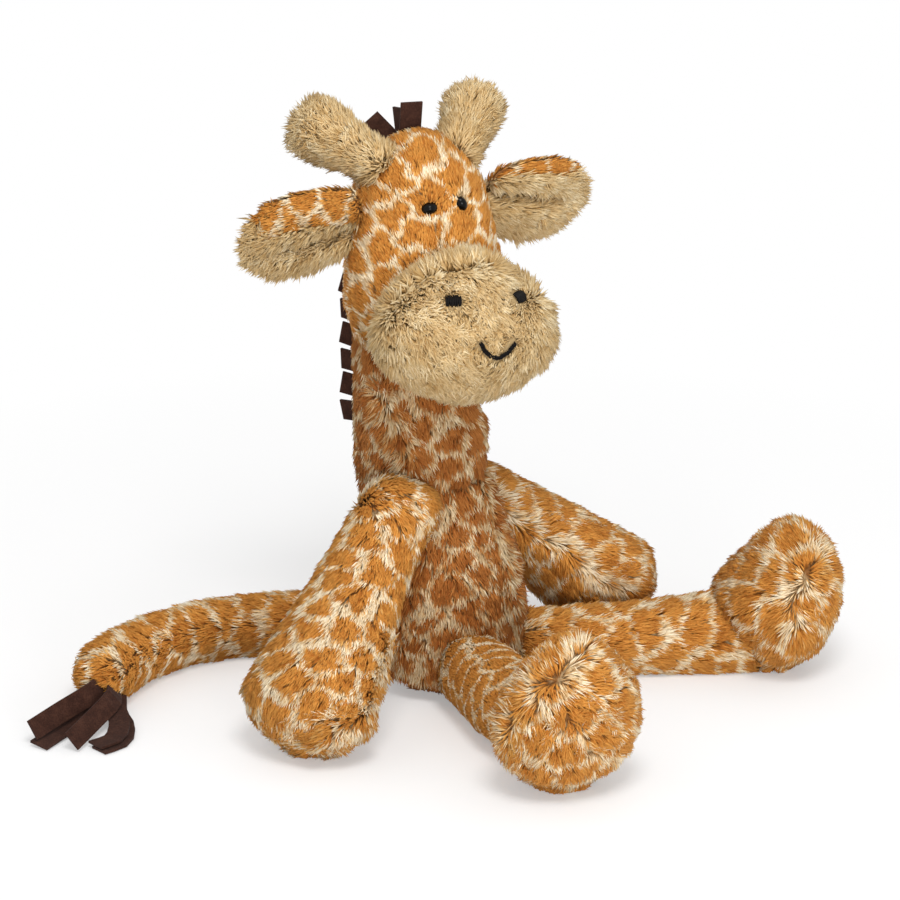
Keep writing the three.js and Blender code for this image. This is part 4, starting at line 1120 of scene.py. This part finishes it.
def finish_piece(piece, body, slot, finish):
    piece.data.materials.clear()
    piece.data.materials.append(finish)
    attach(piece, body)
    return piece


# How many fibres' prints are worked out at once, to save memory
PRINT_BATCH = 20000


def dress(name, form, seed):
    """One form's skin and pile, riding on its body."""
    pile_finish, backing, slot = form["finish"]
    mesh = skins[name]
    mesh.shade_smooth()
    places, normals = points_of(mesh), normals_of(mesh)
    coat = {
        "cover": cover_of(name), "pile": np.ones(len(places)), "stand": np.zeros(len(places)),
        "nap": unit(form["nap"](places, normals)), "facing": normals,
    }
    line = seen_line(name, form["seam"]) if form["seam"] else None
    if line is not None:
        sink_seam(name, line, coat)
    if name == "head":
        dress_eyes(mesh, coat)
    if name == "muzzle":
        clear_stitches(mesh, coat)
    if name == "torso":
        coat["cover"][places[:, 2] > hinges["neck"][2] - NECK_BLEND] = 0
    places = points_of(mesh)
    part, _, side = name.rpartition("_")
    if part == "ear_back":
        coat["cover"] *= 1 - linings[side]
    elif part == "ear_lining":
        coat["cover"] *= linings[side]
        coat["pile"] *= 1 - CREASE_SHORTENING * creases[side]
    for key, values in coat.items():
        set_attribute(mesh, key, values)
    axis = unit(places.mean(axis=0) - hinges.get(form["body"], np.zeros(3)))
    seeds = spread_seeds(stretched(places, axis, form["squat"]), form["spacing"] * MM, seed)

    def print_of(roots):
        batches = np.array_split(stretched(roots, axis, form["squat"]), 1 + len(roots) // PRINT_BATCH)
        share = np.concatenate([print_share(batch, seeds, seed) for batch in batches])
        if line is not None:
            pale = near(np.linalg.norm(gaps_to(roots, line), axis=1), SEAM_CREAM)
            share = share * (1 - pale * np.clip(ripple(roots, SEAM_BUNCH, seed)[:, 0] * 2, 0, 1))
        return share

    set_attribute(mesh, "print_share", print_of(places))
    pile_mesh = grow(planted_pile, mesh, dict(form["coat"], Fibre=fibre, Finish=pile_finish, Seed=seed))
    finish_pile(pile_mesh, print_of, seed)
    if part == "ear_lining":
        mesh = lining_patch(mesh, linings[side])
    skin = finish_piece(new_object(f"{name}_skin", mesh), form["body"], slot, backing)
    finish_piece(new_object(f"{name}_pile", pile_mesh), form["body"], slot, pile_finish)
    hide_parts(name)


# Embroidery: the nostrils are satin stitch and the mouth is two rows of stem stitch

THREAD = 1.0 * MM
THREAD_LIFT = 3.7 * MM
STITCH_WAVER = math.radians(5)
SATIN_SPACING = THREAD * 0.66
ROW_SPACING = THREAD * 0.8
NOSTRIL_WIDTH = 6.2 * MM
NOSTRIL_HEIGHT = 5.2 * MM
NOSTRIL_ROUNDING = 0.8
NOSTRIL_PIXELS = {"nostril_right": (453.5, 301.5), "nostril_left": (516.5, 299.5)}
MOUTH_ROWS = 2
MOUTH_STITCH = 2.6 * MM
MOUTH_PIXELS = [(481, 344), (484, 351), (491, 357), (498, 357), (506, 352), (513, 343)]

# Round the stitches: how far the skin is bare, how far from there the pile is shorter and fans out,
# and how far the skin is padded out
NOSTRIL_BARE = NOSTRIL_WIDTH * 0.56
MOUTH_BARE = 1.6 * MM
CLEARING = 4 * MM
STITCH_SHORTENING = 0.6
STITCH_FAN = 0.9
PAD_REACH = CLEARING * 0.6
STITCH_PAD = 2.6 * MM

# A stitch's rings, its girth where it enters the cloth and how high it arches
STITCH_RINGS = 7
STITCH_SIDES = 6
STITCH_END_GIRTH = 0.55
STITCH_ARCH = 0.7
STITCH_INPUTS = {
    "Geometry": ["Guide"], "Object": ["Stitch"], "Material": ["Finish"], "Float": ["Thread", "Waver"],
    "Int": ["Seed"],
}
STITCH_ATTRIBUTES = {"FLOAT": ["reach"], "FLOAT_VECTOR": ["facing", "laid"]}


def stitch_object():
    """One stitch: a thread that arches out of the cloth and back, one unit long and one thick."""
    corners = []
    for k in range(STITCH_RINGS):
        share = k / (STITCH_RINGS - 1)
        rise = math.sin(math.pi * share)
        girth = 0.5 * (STITCH_END_GIRTH + (1 - STITCH_END_GIRTH) * rise)
        for j in range(STITCH_SIDES):
            turn = 2 * math.pi * j / STITCH_SIDES
            height = girth * math.sin(turn) + rise * STITCH_ARCH - 0.5
            corners.append((girth * math.cos(turn), share - 0.5, height))
    faces = ring_faces(STITCH_RINGS, STITCH_SIDES)
    last = (STITCH_RINGS - 1) * STITCH_SIDES
    faces.append(tuple(range(STITCH_SIDES)))
    faces.append(tuple(last + j for j in reversed(range(STITCH_SIDES))))
    mesh = bpy.data.meshes.new("stitch")
    mesh.from_pydata(corners, [], [tuple(reversed(face)) for face in faces])
    mesh.shade_smooth()
    return new_object("stitch", mesh)


def stitch_tree():
    """Lays a stitch on each point of a guide, along and out of the cloth as the guide's attributes say."""
    tree, given = new_tree("laid_stitches", STITCH_INPUTS, STITCH_ATTRIBUTES)
    points = add(tree, "GeometryNodeMeshToPoints", inputs={"Mesh": given["Guide"]})
    laid = add(
        tree, "FunctionNodeAxesToRotation", {"primary_axis": "Z", "secondary_axis": "Y"},
        {"Primary Axis": given["facing"], "Secondary Axis": given["laid"]},
    )
    back = add(tree, "ShaderNodeMath", {"operation": "MULTIPLY"}, {0: given["Waver"], 1: -1.0})
    drawn = {2: back, 3: given["Waver"], "Seed": given["Seed"]}
    waver = add(tree, "FunctionNodeRandomValue", {"data_type": "FLOAT"}, drawn).outputs[1]
    turn = add(tree, "ShaderNodeCombineXYZ", inputs={2: waver})
    turned = add(tree, "FunctionNodeEulerToRotation", inputs={0: turn})
    rotation = add(
        tree, "FunctionNodeRotateRotation", {"rotation_space": "LOCAL"},
        {"Rotation": laid, "Rotate By": turned},
    )
    size = add(tree, "ShaderNodeCombineXYZ", inputs={
        0: given["Thread"], 1: given["reach"], 2: given["Thread"],
    })
    stitch = add(tree, "GeometryNodeObjectInfo", inputs={"Object": given["Stitch"]}).outputs["Geometry"]
    sewn = add(tree, "GeometryNodeInstanceOnPoints", inputs={
        "Points": points, "Instance": stitch, "Rotation": rotation, "Scale": size,
    })
    end_tree(tree, sewn, given["Finish"])
    return tree


def embroider(name, rows):
    """Sews rows of (place, facing, laid, reach) and stands the result for the frame's node."""
    guide = bpy.data.meshes.new(f"{name}_guide")
    guide.from_pydata([tuple(row[0]) for row in rows], [], [])
    for key, column in (("facing", 1), ("laid", 2), ("reach", 3)):
        set_attribute(guide, key, np.array([row[column] for row in rows]))
    sewn = grow(sewn_stitches, guide, {
        "Stitch": stitch, "Finish": thread, "Thread": THREAD, "Waver": STITCH_WAVER, "Seed": len(rows),
    })
    sewn.shade_smooth()
    piece = finish_piece(new_object(f"{name}_stitches", sewn), "head", "thread", thread)
    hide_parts(name)


def nostril_seat(pixel):
    """A nostril's middle on the muzzle's skin, and the way that it faces."""
    place = seen_line("muzzle", [pixel], THREAD_LIFT)[0]
    return place, np.array(trees["muzzle"].find_nearest(Vector(place))[1])


def nostril_rows(seat, facing):
    """Upright satin stitches side by side, a square of them."""
    down = unit(-upward + facing * (upward @ facing))
    across = np.cross(facing, down)
    count = round(NOSTRIL_WIDTH / SATIN_SPACING)
    for k in range(count):
        share = (k + 0.5) / count - 0.5
        place = seat + across * share * NOSTRIL_WIDTH + facing * THREAD_LIFT
        yield place, facing, down, NOSTRIL_HEIGHT * (1 - NOSTRIL_ROUNDING * share ** 2)


def mouth_rows():
    """Stem stitches that overlap along the mouth, in rows beside each other."""
    for row in range(MOUTH_ROWS):
        for start, end in zip(mouth_line[:-1], mouth_line[1:]):
            way = unit(end - start)
            count = max(1, round(np.linalg.norm(end - start) / (MOUTH_STITCH / 2)))
            for k in range(count):
                place = start + (end - start) * (k + 0.5) / count
                seat, normal, _, _ = trees["muzzle"].find_nearest(Vector(place))
                facing = np.array(normal)
                beside = np.cross(facing, way) * (row - (MOUTH_ROWS - 1) / 2) * ROW_SPACING
                yield np.array(seat) + beside + facing * THREAD_LIFT, facing, way, MOUTH_STITCH


nostril_seats = {name: nostril_seat(pixel) for name, pixel in NOSTRIL_PIXELS.items()}
mouth_line = seen_line("muzzle", MOUTH_PIXELS, THREAD_LIFT)

for seed, (name, form) in enumerate(FORMS.items()):
    dress(name, form, seed)
bpy.data.objects.remove(fibre)

stitch = stitch_object()
sewn_stitches = stitch_tree()
for name, seat in nostril_seats.items():
    embroider(name, list(nostril_rows(*seat)))
embroider("mouth", list(mouth_rows()))
bpy.data.objects.remove(stitch)


# Eyes: moulded in one piece with their shanks, glossy and domed

EYE_SEGMENTS = 40
EYE_SINK = 2.9 * MM


def turned_form(name, profile, seat, axis, segments):
    """A closed form turned round an axis, from (radius, height) points that start and end on it."""
    side = unit(np.cross(axis, upward))
    other = np.cross(axis, side)
    corners = [seat + axis * profile[0][1]]
    for radius, height in profile[1:-1]:
        for k in range(segments):
            turn = 2 * math.pi * k / segments
            corners.append(seat + axis * height + (side * math.cos(turn) + other * math.sin(turn)) * radius)
    corners.append(seat + axis * profile[-1][1])
    rings = len(profile) - 2
    faces = [(0, 1 + (k + 1) % segments, 1 + k) for k in range(segments)]
    faces += ring_faces(rings, segments, 1)
    first = 1 + (rings - 1) * segments
    faces += [(len(corners) - 1, first + k, first + (k + 1) % segments) for k in range(segments)]
    mesh = bpy.data.meshes.new(name)
    mesh.from_pydata([tuple(corner) for corner in corners], [], faces)
    reworked(mesh, lambda form: bmesh.ops.recalc_face_normals(form, faces=form.faces))
    mesh.shade_smooth()
    return mesh


def eye_profile():
    """From the crown of the dome, over its rim and back to the end of the shank."""
    radius = EYE_DIAMETER / 2
    dome = [
        (radius * math.sin(turn), EYE_HEIGHT * math.cos(turn))
        for turn in np.linspace(0, math.pi / 2, 13)
    ]
    rim = [(radius * 0.97, -0.35 * MM), (radius * 0.85, -0.6 * MM), (SHANK_DIAMETER / 2 * 1.3, -0.7 * MM)]
    shank = [(SHANK_DIAMETER / 2, -1.2 * MM), (SHANK_DIAMETER / 2, -9 * MM), (0, -9.6 * MM)]
    return dome + rim + shank


for name, (seat, axis, across) in eye_seats.items():
    mesh = turned_form(f"{name}_dome", eye_profile(), seat - axis * EYE_SINK, axis, EYE_SEGMENTS)
    gap = stretched(points_of(mesh) - seat, across, EYE_FLATNESS)
    on_shank = gap @ axis < -EYE_HEIGHT
    move_points(mesh, seat + gap + on_shank[:, None] * view_up * EYE_DROP)
    piece = finish_piece(new_object(f"{name}_dome", mesh), "head", "eye_plastic", eye_black)
    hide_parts(name)


# Suede tabs and strips, washers and pellet bag keep the frame's forms

REDRESSED = {
    "crown_tab": suede, "neck_tab": suede, "tassel_strip": suede, "eye_washer": washer_nylon,
    "pellet_bag": bag_cloth,
}
for name, thing in nodes.items():
    for prefix, finish in REDRESSED.items():
        if name.startswith(prefix):
            for slot in thing.material_slots:
                slot.material = finish


# Floor, light and camera

FLOOR_REACH = 4
floor_corners = [(x * FLOOR_REACH, y * FLOOR_REACH, 0) for x, y in ((-1, -1), (1, -1), (1, 1), (-1, 1))]
floor_mesh = bpy.data.meshes.new("floor")
floor_mesh.from_pydata(floor_corners, [], [(0, 1, 2, 3)])
floor = new_object("floor", floor_mesh)


def seen_directly(tree):
    """1 for what the camera, a reflection or glass shows, and 0 for light that falls on things."""
    path = add(tree, "ShaderNodeLightPath").outputs
    seen = path["Is Camera Ray"]
    for ray in ("Is Glossy Ray", "Is Transmission Ray"):
        seen = add(tree, "ShaderNodeMath", {"operation": "MAXIMUM"}, {0: seen, 1: path[ray]})
    return seen


# White studio paper, which lies flat and matt, and glows a little to the camera so that it stays white
paper, tree, shader = material("white_studio_paper", 0.9)
shader.inputs["Base Color"].default_value = linear("#f7f7f7")
glow = add(tree, "ShaderNodeEmission", inputs={"Color": linear("#ffffff"), "Strength": 1.0})
place = add(tree, "ShaderNodeTexCoord").outputs["Object"]
reach = add(tree, "ShaderNodeVectorMath", {"operation": "LENGTH"}, {0: place}).outputs["Value"]
glowing = add(tree, "ShaderNodeMapRange", inputs={
    "Value": reach, "From Min": 150 * MM, "From Max": 420 * MM, "To Min": 0.3, "To Max": 1.0,
})
share = add(tree, "ShaderNodeMath", {"operation": "MULTIPLY"}, {0: seen_directly(tree), 1: glowing})
blend = add(tree, "ShaderNodeMixShader", inputs={0: share, 1: shader, 2: glow})
tree.links.new(blend.outputs[0], tree.nodes["Material Output"].inputs["Surface"])
floor_mesh.materials.append(paper)
floor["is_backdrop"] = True

# The ambient light on things, dimmer than the white backdrop that the camera sees
AMBIENT = 0.74
world = bpy.data.worlds.new("studio")
scene.world = world
world.use_nodes = True
tree = world.node_tree
backdrop = tree.nodes["Background"]
strength = add(tree, "ShaderNodeMapRange", inputs={
    "Value": seen_directly(tree), "To Min": AMBIENT, "To Max": 1.0,
})
tree.links.new(strength.outputs[0], backdrop.inputs["Strength"])
backdrop.inputs["Color"].default_value = (1, 1, 1, 1)


def area_light(name, place, aim, size, watts):
    lamp = bpy.data.lights.new(name, "AREA")
    lamp.shape = "DISK"
    lamp.size = size
    lamp.energy = watts
    thing = bpy.data.objects.new(name, lamp)
    thing.location = place
    thing.rotation_euler = (Vector(aim) - Vector(place)).to_track_quat("-Z", "Y").to_euler()
    scene.collection.objects.link(thing)


area_light("overhead_softbox", (-0.5, -0.45, 1.2), (0, 0, 0.1), size=0.5, watts=8)
area_light("front_softbox", (-0.9, -1.1, 0.25), (0, 0, 0.1), size=0.5, watts=7)

camera_data = bpy.data.cameras.new("camera")
camera_data.sensor_width = SENSOR_WIDTH
camera_data.lens = LENS
camera_data.clip_end = 20
camera = bpy.data.objects.new("camera", camera_data)
camera.location = view_place
camera.rotation_euler = Vector(-view_back).to_track_quat("-Z", "Y").to_euler()
scene.collection.objects.link(camera)
scene.camera = camera
scene.view_settings.view_transform = "Standard"

boxes = {"cad": cad_bounds, "visual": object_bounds()}
{key: [list(corner) for corner in box] for key, box in boxes.items()}
